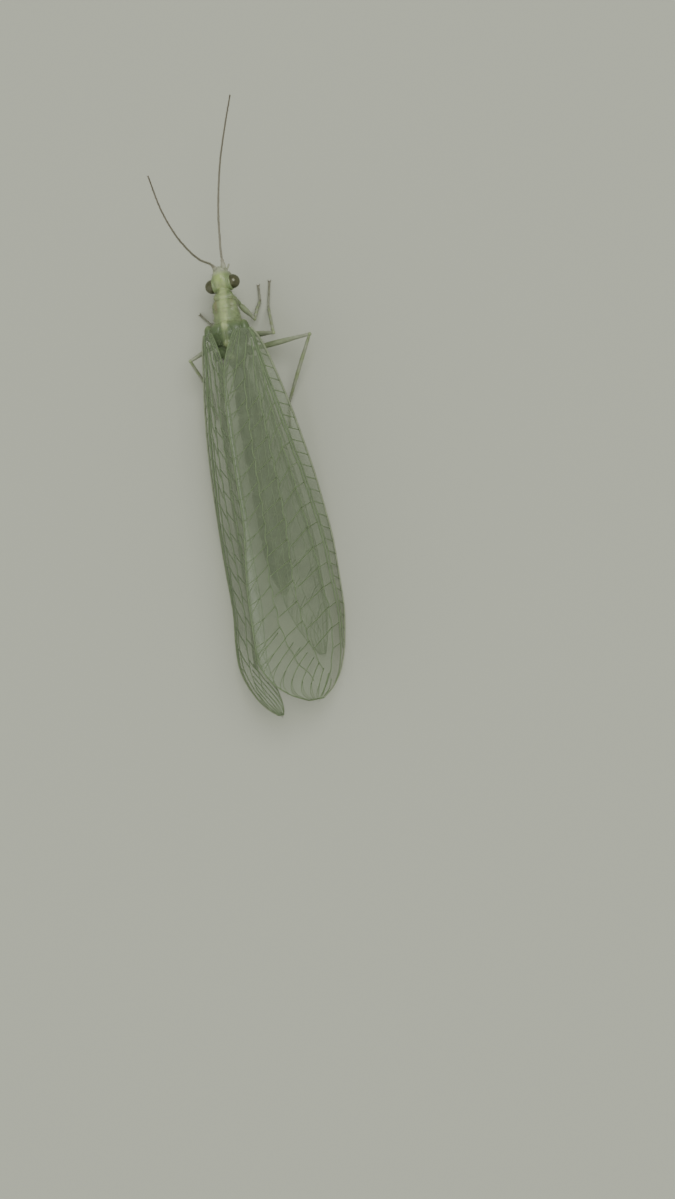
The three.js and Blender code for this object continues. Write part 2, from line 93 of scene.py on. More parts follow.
# Body stations: back, height of the centre, half width, half height
NECK = [[0.95, 1.92, 0.24, 0.28], [1.2, 1.95, 0.26, 0.3], [1.45, 2.0, 0.3, 0.32]]
PROTHORAX = [
    [1.22, 1.97, 0.25, 0.29], [1.36, 2.0, 0.32, 0.35], [1.52, 2.05, 0.41, 0.41],
    [1.9, 2.12, 0.49, 0.47], [2.3, 2.2, 0.58, 0.53], [2.62, 2.25, 0.64, 0.59],
]
MESOTHORAX = [
    [2.62, 2.25, 0.6, 0.56], [2.84, 2.25, 0.7, 0.65], [3.0, 2.27, 0.8, 0.74],
    [3.25, 2.28, 0.86, 0.8], [3.55, 2.26, 0.82, 0.78], [3.72, 2.22, 0.74, 0.72],
]
METATHORAX = [
    [3.7, 2.17, 0.68, 0.68], [3.9, 2.14, 0.7, 0.68], [4.06, 2.07, 0.68, 0.66],
    [4.26, 1.95, 0.58, 0.57], [4.42, 1.8, 0.44, 0.46], [4.7, 1.55, 0.3, 0.32],
]

# Lumps of the thorax, in the same order as those of the head
THORAX_SIDE_LUMPS = {
    "front of the shield": ((0.22, -1.62, 2.26), (0.25, 0.26, 0.16)),
    "side of the shield": ((0.28, -2.1, 2.4), (0.3, 0.42, 0.2)),
    "front flight muscle": ((0.36, -3.1, 2.76), (0.4, 0.36, 0.27)),
    "rear flight muscle": ((0.32, -4.0, 2.5), (0.34, 0.3, 0.24)),
    "forewing shoulder": ((0.82, -3.12, 2.66), (0.22, 0.38, 0.26)),
    "hindwing shoulder": ((0.78, -4.12, 2.2), (0.18, 0.22, 0.22)),
    "plate over the foreleg": ((0.3, -1.8, 1.78), (0.2, 0.3, 0.28)),
    "plate over the midleg": ((0.46, -3.2, 1.72), (0.26, 0.34, 0.34)),
    "plate over the hindleg": ((0.36, -3.9, 1.62), (0.24, 0.3, 0.3)),
}
THORAX_MIDDLE_LUMPS = {
    "front ridge": ((0, -2.9, 2.82), (0.34, 0.22, 0.2)),
    "scutellum": ((0, -3.66, 2.88), (0.26, 0.24, 0.18)),
    "rear scutellum": ((0, -4.28, 2.5), (0.2, 0.16, 0.15)),
}

# Abdomen: its line, its size and its rings
ABDOMEN_ROOT = 4.35
ABDOMEN_TIP = 14.75
ABDOMEN_SEGMENTS = 9
ABDOMEN_HEIGHT = [[4.62, 1.52], [6.5, 1.26], [9, 1.12], [12, 1.02], [14.8, 0.98]]
ABDOMEN_RADIUS = [
    [4.4, 0.3], [4.62, 0.32], [5.4, 0.44], [7, 0.56], [10, 0.62], [12.4, 0.64], [14, 0.5], [14.8, 0.24],
]
ABDOMEN_SWAY = [[4.62, 0], [8, 0.05], [12, 0.16], [14.8, 0.22]]
ABDOMEN_TALLNESS = 1.05
RING_GROOVE = 0.05
RING_SWELL = 0.018
SKIN_ALLOWANCE = 0.01
TAIL_SWAY = ABDOMEN_SWAY[-1][1]
TAIL_LUMPS = {
    "upper valve": ((TAIL_SWAY, -ABDOMEN_END - 0.02, 1.08), (0.2, 0.26, 0.17)),
    "lower valve": ((TAIL_SWAY, -ABDOMEN_END + 0.1, 0.86), (0.17, 0.24, 0.14)),
}
FURROW_DEPTH = 0.022
SIDE_SEAMS = ((2.98, 0.25), (3.42, 0.2), (4.02, 0.2))
SCUTELLUM_SPOTS = ((3.72, 0.15), (4.26, 0.14))
SKIN_VOXEL = 0.027
SKIN_SMOOTHING = 5

# Wings: the roof that they lie in, as arcs that steepen away from the ridge
SLOPE_AT_RIDGE = radians(53)
SLOPE_AT_COSTA = radians(73)
FLATTENING = radians(45)
WING_WIDTH = 5.0
WING_ROOT = 3.15
STRAIGHT_ROOF = {
    "side": [[3.15, 0.6], [4.2, 0.42], [5.5, 0.34], [20.4, 0.34]],
    "height": [[3.15, 3.32], [4.2, 3.68], [6, 4.08], [8.5, 4.36], [12, 4.44], [16, 4.44], [20.4, 4.3]],
    "turn": [[3.15, 0], [20.4, 0]],
}
MEMBRANE_THICKNESS = 0.012
MEMBRANE_ROWS = 150
MEMBRANE_COLUMNS = 44
WAVE_HEIGHT = 0.035

# The left wings cross under the right ones toward their tips
CROSSED_ROOF = {
    "side": [
        [3.15, 0.6], [4.2, 0.42], [5.5, 0.34], [11, 0.34], [14.5, 0.48], [17.5, 0.44], [19.5, 0.14],
        [20.4, 0.0],
    ],
    "height": [
        [3.15, 3.32], [4.2, 3.68], [6, 4.08], [8.5, 4.36], [11, 4.42], [14.5, 3.92], [17.5, 3.8],
        [19.5, 3.4], [20.4, 3.15],
    ],
    "turn": [[3.15, 0], [15, 0], [20.4, 14]],
}

# Each wing: its front margin (costa) and hind margin (anal), by share of its length
FORE_FRONT = [[0, 0.85], [0.03, 1.45], [0.07, 2.0], [0.15, 2.75], [0.3, 3.75], [0.45, 4.5]]
FORE_RIGHT = {
    **STRAIGHT_ROOF,
    "start": WING_ROOT,
    "length": 16.65,
    "inset": 0,
    "costa": FORE_FRONT + [
        [0.62, 4.97], [0.75, 4.95], [0.86, 4.5], [0.93, 3.85], [0.975, 3.05], [1, 2.25],
    ],
    "anal": [
        [0, -0.1], [0.04, -0.3], [0.1, -0.5], [0.25, -0.62], [0.5, -0.62], [0.6, -0.78], [0.7, -0.95],
        [0.85, -1.0], [0.9, -0.88], [0.94, -0.5], [0.97, 0.1], [0.985, 0.6], [1, 1.3],
    ],
}
FORE_LEFT = {
    **CROSSED_ROOF,
    "start": WING_ROOT,
    "length": 17.1,
    "inset": 0,
    "costa": FORE_FRONT + [
        [0.53, 4.72], [0.62, 4.5], [0.7, 4.38], [0.77, 4.36], [0.83, 3.83], [0.9, 2.99], [0.95, 2.15],
        [0.98, 1.43], [1, 0.74],
    ],
    "anal": [
        [0, -0.1], [0.04, -0.28], [0.1, -0.42], [0.3, -0.48], [0.5, -0.48], [0.62, -0.5], [0.7, -0.5],
        [0.8, -0.25], [0.9, 0], [0.96, 0.02], [0.985, 0.12], [1, 0.3],
    ],
}
HINDWING = {"start": 4.35, "length": 13.55, "inset": 0.7}
HIND_FRONT = [[0, 2.0], [0.06, 2.35], [0.2, 3.0], [0.35, 3.6]]
HIND_BACK = [[0, 1.55], [0.06, 1.45], [0.15, 1.38], [0.7, 1.38], [0.8, 1.5]]
HIND_RIGHT = {
    **STRAIGHT_ROOF,
    **HINDWING,
    "costa": HIND_FRONT + [[0.55, 4.3], [0.7, 4.6], [0.85, 4.6], [0.95, 4.2], [1, 3.85]],
    "anal": HIND_BACK + [[0.9, 2.1], [0.96, 2.75], [1, 3.35]],
}
HIND_LEFT = {
    **CROSSED_ROOF,
    **HINDWING,
    "costa": HIND_FRONT + [[0.55, 4.2], [0.7, 4.15], [0.85, 4.1], [0.95, 3.75], [1, 3.4]],
    "anal": HIND_BACK + [[0.9, 1.95], [0.96, 2.5], [1, 2.95]],
}
WINGS = {
    "forewing_right": (FORE_RIGHT, 1),
    "forewing_left": (FORE_LEFT, -1),
    "hindwing_right": (HIND_RIGHT, 1),
    "hindwing_left": (HIND_LEFT, -1),
}

# Veins: share along the wing, share from the hind margin to the front one
FRONT_MARGIN = [[0, 1], [1, 1]]
HIND_MARGIN = [[0, 0], [1, 0]]
SUBCOSTA = [[0, 0.88], [0.08, 0.80], [0.2, 0.80], [0.45, 0.85], [0.7, 0.915], [0.88, 0.975]]
RADIAL = [[0, 0.82], [0.08, 0.75], [0.2, 0.755], [0.45, 0.812], [0.7, 0.88], [0.86, 0.935], [0.97, 0.985]]
SECTOR = [
    [0.1, 0.745], [0.16, 0.68], [0.3, 0.65], [0.5, 0.68], [0.7, 0.75], [0.86, 0.82], [0.96, 0.8], [1, 0.7],
]
MEDIAN = [
    [0.03, 0.7], [0.12, 0.56], [0.25, 0.49], [0.45, 0.44], [0.62, 0.42], [0.75, 0.44], [0.86, 0.55],
    [0.93, 0.7],
]
CUBITAL = [
    [0.02, 0.55], [0.1, 0.38], [0.22, 0.28], [0.45, 0.21], [0.65, 0.19], [0.78, 0.22], [0.88, 0.34],
    [0.95, 0.55],
]
ANAL_VEINS = [(0.3, 0.2), (0.18, 0.12), (0.1, 0.06)]
VEIN_STEP = 0.12
FORE_SPACING = 0.055
HIND_SPACING = 0.062
COSTAL_SPACING = 0.62
TIP_RAYS = 10

# Radii of the short veins at their two ends
VEIN_RADII = {
    "tip": (0.025, 0.025),
    "anal": (0.03, 0.02),
    "rung": (0.02, 0.02),
    "inner step": (0.026, 0.022),
    "outer step": (0.024, 0.02),
    "stem": (0.022, 0.02),
    "fork": (0.018, 0.014),
    "ray": (0.018, 0.013),
}

# The long veins: line, where it starts and ends, radius at each end and waviness
LONG_VEINS = [
    (SUBCOSTA, 0, 0.88, 0.042, 0.025, 0.0),
    (RADIAL, 0, 0.97, 0.05, 0.025, 0.0),
    (SECTOR, 0.1, 1, 0.035, 0.022, 0.006),
    (MEDIAN, 0.03, 0.93, 0.036, 0.02, 0.008),
    (CUBITAL, 0.02, 0.95, 0.034, 0.02, 0.008),
]

# Legs: root and trochanter of each pair, on the right, then knee, ankle and toe of each leg
LEG_ROOTS = {
    "foreleg": [(0.28, -1.75, 1.8), (0.34, -1.85, 1.15)],
    "midleg": [(0.45, -3.25, 1.6), (0.6, -3.32, 1.15)],
    "hindleg": [(0.34, -3.88, 1.5), (0.58, -3.95, 0.98)],
}
LEGS = {
    "foreleg_right": [(0.88, -2.62, 0.8), (1.12, -1.8, 0.22), (1.12, -1.1, 0.08)],
    "midleg_right": [(1.9, -3.5, 1.95), (1.46, -2.15, 0.24), (1.66, -1.0, 0.08)],
    "hindleg_right": [(3.45, -3.84, 1.7), (1.7, -6.5, 0.25), (1.5, -7.6, 0.08)],
    "foreleg_left": [(-0.86, -2.72, 0.85), (-1.3, -2.45, 0.25), (-1.78, -1.9, 0.08)],
    "midleg_left": [(-2.1, -4.06, 1.85), (-1.75, -5.6, 0.25), (-1.8, -6.7, 0.08)],
    "hindleg_left": [(-1.25, -6.1, 0.95), (-1.5, -8.9, 0.25), (-1.45, -10.0, 0.08)],
}
LEG_RADII = {
    "coxa": 0.2, "trochanter": 0.13, "femur": 0.085, "knee": 0.085, "tibia": 0.062, "ankle": 0.058,
    "foot": 0.034, "claw": 0.018,
}
COXA_TAPER = 0.07
FEMUR_SWELL = 0.045
TIBIA_SWELL = {"foreleg": 0.012, "midleg": 0.012, "hindleg": 0.03}
TIBIA_BOW = Vector((0, 0, 0.05))
FOOT_JOINTS = (0, 0.42, 0.6, 0.74, 0.86, 0.97)

# A claw's points: share along the foot, then how far aside, ahead and up
CLAW = ((0.96, 0.02, 0, 0), (1, 0.06, 0.02, 0), (1, 0.07, 0.08, -0.045))

# Antennae: a few points that each one passes
ANTENNAE = {
    "right": [(0.18, -0.32, 2.08), (0.19, 0.3, 2.18), (0.26, 0.9, 2.27), (0.43, 2.0, 2.45),
              (0.69, 3.05, 2.7), (1.09, 4.26, 3.1), (1.68, 5.53, 3.7), (2.32, 6.71, 4.4)],
    "left": [(-0.16, -0.34, 2.15), (-0.26, -0.08, 2.6), (-0.46, 0.07, 3.5), (-0.63, 0.45, 4.6),
             (-0.85, 1.14, 5.6), (-1.04, 2.18, 6.5), (-1.14, 3.51, 7.2)],
}
ANTENNA_STEPS = 330
ANTENNA_RINGS = 55

# Mouthparts: the feelers of the jaws and of the lip, and the jaw tips
JAW_FEELER = [
    (0.17, -0.36, 1.36), (0.22, -0.24, 1.25), (0.26, -0.13, 1.15), (0.27, -0.06, 1.04), (0.25, -0.02, 0.92),
]
LIP_FEELER = [(0.07, -0.4, 1.26), (0.11, -0.34, 1.13), (0.13, -0.26, 1.03), (0.12, -0.2, 0.93)]
JAW_TIP = [(0.13, -0.24, 1.29), (0.1, -0.16, 1.22), (0.04, -0.13, 1.17), (0.0, -0.13, 1.15)]

# Hairs
PATCH = 0.003
BODY_HAIR_SPOTS = 7000
WING_HAIR_SPACING = 0.055

# Hairs of the body: up to this far back, share of the spots that have one, length
BODY_HAIR_ZONES = [
    (1.3, 0.16, 0.11),
    (2.7, 0.5, 0.17),
    (ABDOMEN_START, 0.35, 0.15),
    (inf, 0.5, 0.10),
]

# Colours, linear
LEAF_GREEN = (0.215, 0.275, 0.125)
DEEP_GREEN = (0.10, 0.145, 0.06)
# Painted shade: near black green for the top of the abdomen, the shade under the folded wings
BACK_SHADE_GREEN = (0.032, 0.05, 0.02)
BELLY_GREEN = (0.21, 0.28, 0.13)
STRIPE_YELLOW = (0.37, 0.44, 0.20)
SPOT_YELLOW = (0.34, 0.45, 0.12)
FACE_CREAM = (0.40, 0.42, 0.30)
RUSTY_BROWN = (0.17, 0.115, 0.055)
MOUTH_BROWN = (0.12, 0.06, 0.025)
JOINT_PALE = (0.27, 0.32, 0.17)
WING_GREEN = (0.265, 0.322, 0.208)
WING_SMOKE = (0.16, 0.15, 0.105)
VEIN_GREEN = (0.15, 0.205, 0.10)
VEIN_PALE = (0.25, 0.29, 0.18)
STIGMA_GREEN = (0.15, 0.20, 0.09)
LIMB_PALE = (0.31, 0.33, 0.24)
LIMB_TIP = (0.19, 0.18, 0.13)
ANTENNA_PALE = (0.30, 0.29, 0.22)
ANTENNA_TIP = (0.17, 0.15, 0.11)
# The eye's own bronze, also used as the painted sheen at the top of each eye
EYE_BRONZE_AND_SHEEN = (0.16, 0.15, 0.06)
EYE_DARK = (0.06, 0.065, 0.03)
HAIR_PALE = (0.36, 0.36, 0.27)
HAIR_DARK = (0.09, 0.08, 0.05)
GLOW_COLOURS = (0.6, 1.0, 0.35)
FLOOR_PAINT = (0.49, 0.505, 0.415, 1)
SKY_TINT = (0.97, 1.0, 0.93, 1)

# Depths inside materials, in metres
GRAIN_DEPTH = 0.00002
GLOW_DEPTH = 0.0002

# Camera, light and floor
CAMERA = Vector((29.458, -15.629, 117.556))
TARGET = Vector((2.464, -15.629, 0.631))
TILT = radians(9.5)
SENSOR = 36
PHOTO_HEIGHT = 1199
FOCAL_PIXELS = 2684.6
FLOOR_HALF = 400
SKY_STRENGTH = 0.47

rng = random.Random(7)


def follow(stations, at):
    """Smooth value between named stations, never outside them."""
    if at <= stations[0][0]:
        return stations[0][1]
    last = len(stations) - 1
    if at >= stations[last][0]:
        return stations[last][1]
    i = 0
    while stations[i + 1][0] < at:
        i += 1

    def rise(k):
        return (stations[k + 1][1] - stations[k][1]) / (stations[k + 1][0] - stations[k][0])

    def slope(k):
        if k == 0:
            return rise(0)
        if k == last:
            return rise(last - 1)
        before = rise(k - 1)
        after = rise(k)
        return 0 if before * after <= 0 else 2 * before * after / (before + after)

    span = stations[i + 1][0] - stations[i][0]
    u = (at - stations[i][0]) / span
    start = (1 + 2 * u) * (1 - u) ** 2 * stations[i][1] + u * (1 - u) ** 2 * span * slope(i)
    end = u * u * (3 - 2 * u) * stations[i + 1][1] + u * u * (u - 1) * span * slope(i + 1)
    return start + end


def smooth_step(low, high, value):
    t = min(1.0, max(0.0, (value - low) / (high - low)))
    return t * t * (3 - 2 * t)


def smooth_fall(low, high, value):
    return 1 - smooth_step(low, high, value)


def bump_at(centre, width, value):
    return exp(-((value - centre) / width) ** 2)


def mix(a, b, share):
    return tuple(x + (y - x) * share for x, y in zip(a, b))


def clamp(value):
    return min(1.0, max(0.0, value))


def mirrored(points, side):
    """Points on the right, or their mirror images where side is -1."""
    return [Vector((side * x, y, z)) for x, y, z in points]


def straight(start, end, count):
    """Evenly spaced points from start to end."""
    return [start.lerp(end, k / count) for k in range(count + 1)]


def catmull(points, count):
    """Evenly spaced points along a smooth curve through the given ones."""
    stops = [Vector(p) for p in points]
    stops = [stops[0] * 2 - stops[1]] + stops + [stops[-1] * 2 - stops[-2]]
    dense = []
    for i in range(1, len(stops) - 2):
        a, b, c, d = stops[i - 1:i + 3]
        for k in range(24):
            t = k / 24
            dense.append(0.5 * ((2 * b) + (c - a) * t + (2 * a - 5 * b + 4 * c - d) * t * t
                                + (3 * b - a - 3 * c + d) * t ** 3))
    dense.append(stops[-2])
    lengths = [0.0]
    for p, q in zip(dense, dense[1:]):
        lengths.append(lengths[-1] + (q - p).length)
    even = []
    j = 0
    for k in range(count + 1):
        want = lengths[-1] * k / count
        while j < len(lengths) - 2 and lengths[j + 1] < want:
            j += 1
        share = (want - lengths[j]) / max(1e-9, lengths[j + 1] - lengths[j])
        even.append(dense[j].lerp(dense[j + 1], min(1.0, share)))
    return even


def loft_faces(rings, sides, turned=False):
    """Quads between rings of equal size, with both ends closed; turned faces look the other way."""
    faces = []
    for k in range(rings - 1):
        for i in range(sides):
            a = k * sides + i
            b = k * sides + (i + 1) % sides
            faces.append((a, a + sides, b + sides, b) if turned else (a, b, b + sides, a + sides))
    first = range(sides)
    last = range((rings - 1) * sides, rings * sides)
    faces.append(tuple(first if turned else reversed(first)))
    faces.append(tuple(reversed(last) if turned else last))
    return faces


class Build:
    """Points, faces, tints and map places of one piece, in millimetres."""

    def __init__(self):
        self.points = []
        self.faces = []
        self.tints = []
        self.uvs = []

    def add(self, points, faces, tint, uv=None):
        base = len(self.points)
        self.points.extend(points)
        self.faces.extend([tuple(base + i for i in face) for face in faces])
        self.tints.extend(tint if isinstance(tint, list) else [tint] * len(points))
        self.uvs.extend(uv if uv else [(0.5, 0.5)] * len(points))

    def tube(self, line, radii, tint, sides=8, flat=1.0, side_way=None):
        """Round limb along a line, closed at both ends; flat squeezes it along side_way."""
        rings = []
        tints = []
        normal = None
        for k, centre in enumerate(line):
            ahead = (line[min(k + 1, len(line) - 1)] - line[max(k - 1, 0)]).normalized()
            if normal is None:
                start = Vector(side_way) if side_way else Vector((0, 0, 1))
                if abs(ahead.dot(start)) > 0.95:
                    start = Vector((1, 0, 0))
                normal = (start - ahead * start.dot(ahead)).normalized()
            else:
                normal = (normal - ahead * normal.dot(ahead)).normalized()
            across = ahead.cross(normal)
            radius = radii[k] if isinstance(radii, list) else radii
            for i in range(sides):
                angle = tau * i / sides
                high = normal * cos(angle) * radius * flat
                rings.append(centre + high + across * sin(angle) * radius)
                tints.append(tint[k] if isinstance(tint, list) else tint)
        self.add(rings, loft_faces(len(line), sides), tints)

    def blob(self, centre, half, tint=LEAF_GREEN, sides=20, rings=12):
        """Rounded lump with its own three half sizes."""
        points = []
        for j in range(1, rings):
            lat = pi * j / rings
            for i in range(sides):
                lon = tau * i / sides
                x = sin(lat) * cos(lon) * half[0]
                y = sin(lat) * sin(lon) * half[1]
                points.append(Vector((x, y, cos(lat) * half[2])))
        points.append(Vector((0, 0, half[2])))
        points.append(Vector((0, 0, -half[2])))
        points = [p + Vector(centre) for p in points]
        faces = []
        for j in range(rings - 2):
            for i in range(sides):
                a = j * sides + i
                b = j * sides + (i + 1) % sides
                faces.append((a, a + sides, b + sides, b))
        top = len(points) - 2
        for i in range(sides):
            n = (i + 1) % sides
            faces.append((top, i, n))
            faces.append((top + 1, (rings - 2) * sides + n, (rings - 2) * sides + i))
        self.add(points, faces, tint)

    def ball(self, centre, radius, tint):
        self.blob(centre, (radius, radius, radius), tint)

    def lumps(self, shapes, side=1):
        """A table of lumps, mirrored where side is -1."""
        for centre, half in shapes.values():
            self.blob((side * centre[0], centre[1], centre[2]), half)

    def mesh(self, name):
        data = bpy.data.meshes.new(name)
        data.from_pydata([tuple(p) for p in self.points], [], self.faces)
        data.validate()
        return data


def linked(name, data):
    """A new object, linked to the scene."""
    made = bpy.data.objects.new(name, data)
    scene.collection.objects.link(made)
    return made


def to_metres(data):
    """Moves a mesh from the animal's own frame in millimetres into the row frame."""
    data.transform(Matrix.Translation(ORIGIN) @ Matrix.Scale(MM, 4))


def make_piece(name, data, material, replaced=()):
    to_metres(data)
    for poly in data.polygons:
        poly.use_smooth = True
    piece = linked(name, data)
    data.materials.clear()
    data.materials.append(material)
    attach(piece, "root")
    if replaced:
        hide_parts(*replaced)


def set_tints(data, tints):
    layer = data.color_attributes.new("tint", "FLOAT_COLOR", "POINT")
    flat = []
    for tint in tints:
        flat.extend((tint[0], tint[1], tint[2], 1.0))
    layer.data.foreach_set("color", flat)


def built_piece(name, build, material, replaced=(), coat=False):
    data = build.mesh(name)
    set_tints(data, build.tints)
    if coat:
        layer = data.uv_layers.new(name="OFBake")
        for loop in data.loops:
            layer.data[loop.index].uv = build.uvs[loop.vertex_index]
    make_piece(name, data, material, replaced)


# Materials

def set_inputs(node, values):
    for socket, value in values.items():
        node.inputs[socket].default_value = value


def noise_node(nodes, links, place, scale, detail):
    node = nodes.new("ShaderNodeTexNoise")
    set_inputs(node, {"Scale": scale, "Detail": detail})
    links.new(place.outputs["Object"], node.inputs["Vector"])
    return node


def spread_node(nodes, links, source, low, high):
    """Stretches the middle of a noise between two values."""
    node = nodes.new("ShaderNodeMapRange")
    set_inputs(node, {"From Min": 0.3, "From Max": 0.7, "To Min": low, "To Max": high})
    links.new(source.outputs["Fac"], node.inputs["Value"])
    return node


def surface_material(name, roughness, variation, bump, scale, subsurface=0.0, coat=0.0, metallic=0.0,
                     alpha=1.0, film=0.0):
    """Tint of the mesh, mottled by noise at two sizes, with rough patches and a fine grain."""
    material = bpy.data.materials.new(name)
    material.use_nodes = True
    nodes = material.node_tree.nodes
    links = material.node_tree.links
    shader = nodes["Principled BSDF"]
    tint = nodes.new("ShaderNodeVertexColor")
    tint.layer_name = "tint"
    place = nodes.new("ShaderNodeTexCoord")
    coarse = noise_node(nodes, links, place, scale, 4)
    fine = noise_node(nodes, links, place, scale * 7, 3)
    shade = spread_node(nodes, links, coarse, 1 - variation, 1 + variation)
    tinted = nodes.new("ShaderNodeVectorMath")
    tinted.operation = "SCALE"
    links.new(tint.outputs["Color"], tinted.inputs[0])
    links.new(shade.outputs["Result"], tinted.inputs["Scale"])
    links.new(tinted.outputs["Vector"], shader.inputs["Base Color"])
    gloss = spread_node(nodes, links, fine, roughness * 0.8, min(1.0, roughness * 1.25))
    links.new(gloss.outputs["Result"], shader.inputs["Roughness"])
    relief = nodes.new("ShaderNodeBump")
    set_inputs(relief, {"Strength": bump, "Distance": GRAIN_DEPTH})
    links.new(fine.outputs["Fac"], relief.inputs["Height"])
    links.new(relief.outputs["Normal"], shader.inputs["Normal"])
    set_inputs(shader, {"Metallic": metallic, "Alpha": alpha, "Coat Weight": coat, "Coat Roughness": 0.12})
    if film:
        set_inputs(shader, {"Thin Film Thickness": film, "Thin Film IOR": 1.5})
    if subsurface:
        set_inputs(shader, {"Subsurface Weight": subsurface, "Subsurface Radius": GLOW_COLOURS,
                            "Subsurface Scale": GLOW_DEPTH})
    return material


SKIN = surface_material("cuticle", 0.42, 0.14, 0.5, 3500, subsurface=0.15, coat=0.12)
EYE = surface_material("compound_eye", 0.28, 0.25, 0.2, 5000, coat=0.35, metallic=0.3)
WING = surface_material("wing_membrane", 0.3, 0.10, 0.35, 1200, alpha=0.32, film=380)
UNDER_WING = surface_material("hindwing_membrane", 0.3, 0.10, 0.35, 1200, alpha=0.11, film=420)
VEIN = surface_material("wing_vein", 0.5, 0.15, 0.4, 4000)
LIMB = surface_material("leg_cuticle", 0.5, 0.12, 0.5, 5000, subsurface=0.1)
FEELER = surface_material("antenna_cuticle", 0.6, 0.15, 0.5, 6000)
HAIR = surface_material("setae", 0.55, 0.15, 0.2, 8000)


# The skin: head, thorax and abdomen in one surface

def head_turn(point, yaw=HEAD_YAW):
    """Turns a point with the head, which looks a little to its left."""
    return Matrix.Rotation(yaw, 3, "Z") @ (point - NECK_PIVOT) + NECK_PIVOT


def body_rings(build, stations, step=0.06, sides=40):
    """Closed loft of upright ellipses along the body."""
    start = stations[0][0]
    count = max(4, int((stations[-1][0] - start) / step))
    points = []
    for k in range(count + 1):
        back = start + (stations[-1][0] - start) * k / count
        height, half_width, half_height = (follow([[row[0], row[c]] for row in stations], back)
                                           for c in (1, 2, 3))
        for i in range(sides):
            angle = tau * i / sides
            x = cos(angle) * half_width
            points.append(Vector((x, -back, height + sin(angle) * half_height)))
    build.add(points, loft_faces(count + 1, sides, turned=True), LEAF_GREEN)


def segment_share(back):
    """Share of the way through the abdomen's segment at a place, from 0 to 1."""
    along = (back - ABDOMEN_START) / (ABDOMEN_END - ABDOMEN_START) * ABDOMEN_SEGMENTS
    return along % 1


def abdomen_station(back):
    """Radius and height of the abdomen, with its rings drawn in between the plates."""
    share = segment_share(back)
    groove = 0.0
    if back > ABDOMEN_START:
        groove = bump_at(0.0, 0.07, min(share, 1 - share)) * RING_GROOVE
        groove += RING_SWELL * (1 - sin(pi * share))
    return follow(ABDOMEN_RADIUS, back) - SKIN_ALLOWANCE - groove, follow(ABDOMEN_HEIGHT, back)


def head_blocks(build):
    """Skull, brow, cheeks, eye rims, jaws, face plate and lips, turned together at the end."""
    start = len(build.points)
    build.blob(HEAD_CENTRE, HEAD_HALF, sides=40, rings=28)
    for point in build.points[start:]:
        ahead = (point.y - HEAD_CENTRE.y) / HEAD_HALF.y
        below = (HEAD_CENTRE.z - point.z) / HEAD_HALF.z
        point.x *= 1 - FACE_NARROWING * max(0.0, ahead) - CHIN_NARROWING * max(0.0, below)
    for side in (-1, 1):
        build.lumps(HEAD_SIDE_LUMPS, side)
        rim = []
        for k in range(29):
            angle = tau * k / 28
            y = -EYE_BACK + cos(angle) * RIM_RADIUS
            rim.append(Vector((side * RIM_SIDE, y, EYE_HEIGHT + sin(angle) * RIM_RADIUS)))
        build.tube(rim, RIM_THICKNESS, LEAF_GREEN, sides=10, side_way=(1, 0, 0))
        build.tube(mirrored(JAW, side), JAW_RADII, LEAF_GREEN, sides=12)
    build.lumps(HEAD_MIDDLE_LUMPS)
    build.tube([Vector(p) for p in FACE_PLATE], FACE_PLATE_RADII, LEAF_GREEN, sides=24, flat=0.75,
               side_way=(0, 1, 0.5))
    for i in range(start, len(build.points)):
        build.points[i] = head_turn(build.points[i])


def thorax_blocks(build):
    """Neck, shield, the paired lobes that move the wings, and the side plates over the coxae."""
    for stations in (NECK, PROTHORAX, MESOTHORAX, METATHORAX):
        body_rings(build, stations)
    for side in (-1, 1):
        build.lumps(THORAX_SIDE_LUMPS, side)
    build.lumps(THORAX_MIDDLE_LUMPS)


def abdomen_blocks(build, sides=48, count=260):
    """Ringed abdomen with a fold along each flank, and the two valves at its tip."""
    points = []
    for k in range(count + 1):
        back = ABDOMEN_ROOT + (ABDOMEN_TIP - ABDOMEN_ROOT) * k / count
        radius, height = abdomen_station(back)
        for i in range(sides):
            angle = tau * i / sides
            fold = bump_at(-0.25, 0.16, sin(angle)) * 0.05 * abs(cos(angle))
            reach = radius * (1 - fold)
            x = follow(ABDOMEN_SWAY, back) + cos(angle) * reach
            points.append(Vector((x, -back, height + sin(angle) * reach * ABDOMEN_TALLNESS)))
    build.add(points, loft_faces(count + 1, sides, turned=True), LEAF_GREEN)
    build.lumps(TAIL_LUMPS)


def head_relief(p):
    q = head_turn(p, -HEAD_YAW)
    front = smooth_step(-0.5, -0.35, q.y)
    lips = bump_at(1.55, 0.022, q.z) + bump_at(1.37, 0.018, q.z)
    crown = bump_at(0.0, 0.02, q.x) * smooth_step(2.25, 2.35, q.z) * 0.5
    cheek = bump_at(0.24, 0.02, abs(q.x)) * front * smooth_fall(1.8, 2.0, q.z)
    return FURROW_DEPTH * (lips * front + crown + 0.7 * cheek)


def skin_relief(p):
    """Depth of the furrows between the plates of the skin at a point."""
    back = -p.y
    over = smooth_step(2.15, 2.4, p.z)
    if back < 1.25:
        return head_relief(p)
    if back < 2.7:
        folds = bump_at(1.66, 0.05, back) * 0.035 + bump_at(2.06 + 0.1 * p.x ** 2, 0.05, back) * 0.03
        return folds * over + 0.02 * bump_at(2.62, 0.03, back)
    if back < ABDOMEN_START:
        middle = bump_at(0.0, 0.025, p.x) * over * 0.02
        lobes = 0.0
        if back < 3.4:
            lobes = bump_at(0.2 + 0.35 * (back - 2.85), 0.025, abs(p.x)) * over * 0.018
        plates = sum(bump_at(seam + lean * (p.z - 2.0), 0.03, back) for seam, lean in SIDE_SEAMS)
        return middle + lobes + FURROW_DEPTH * plates * smooth_fall(2.2, 2.4, p.z)
    return 0.0


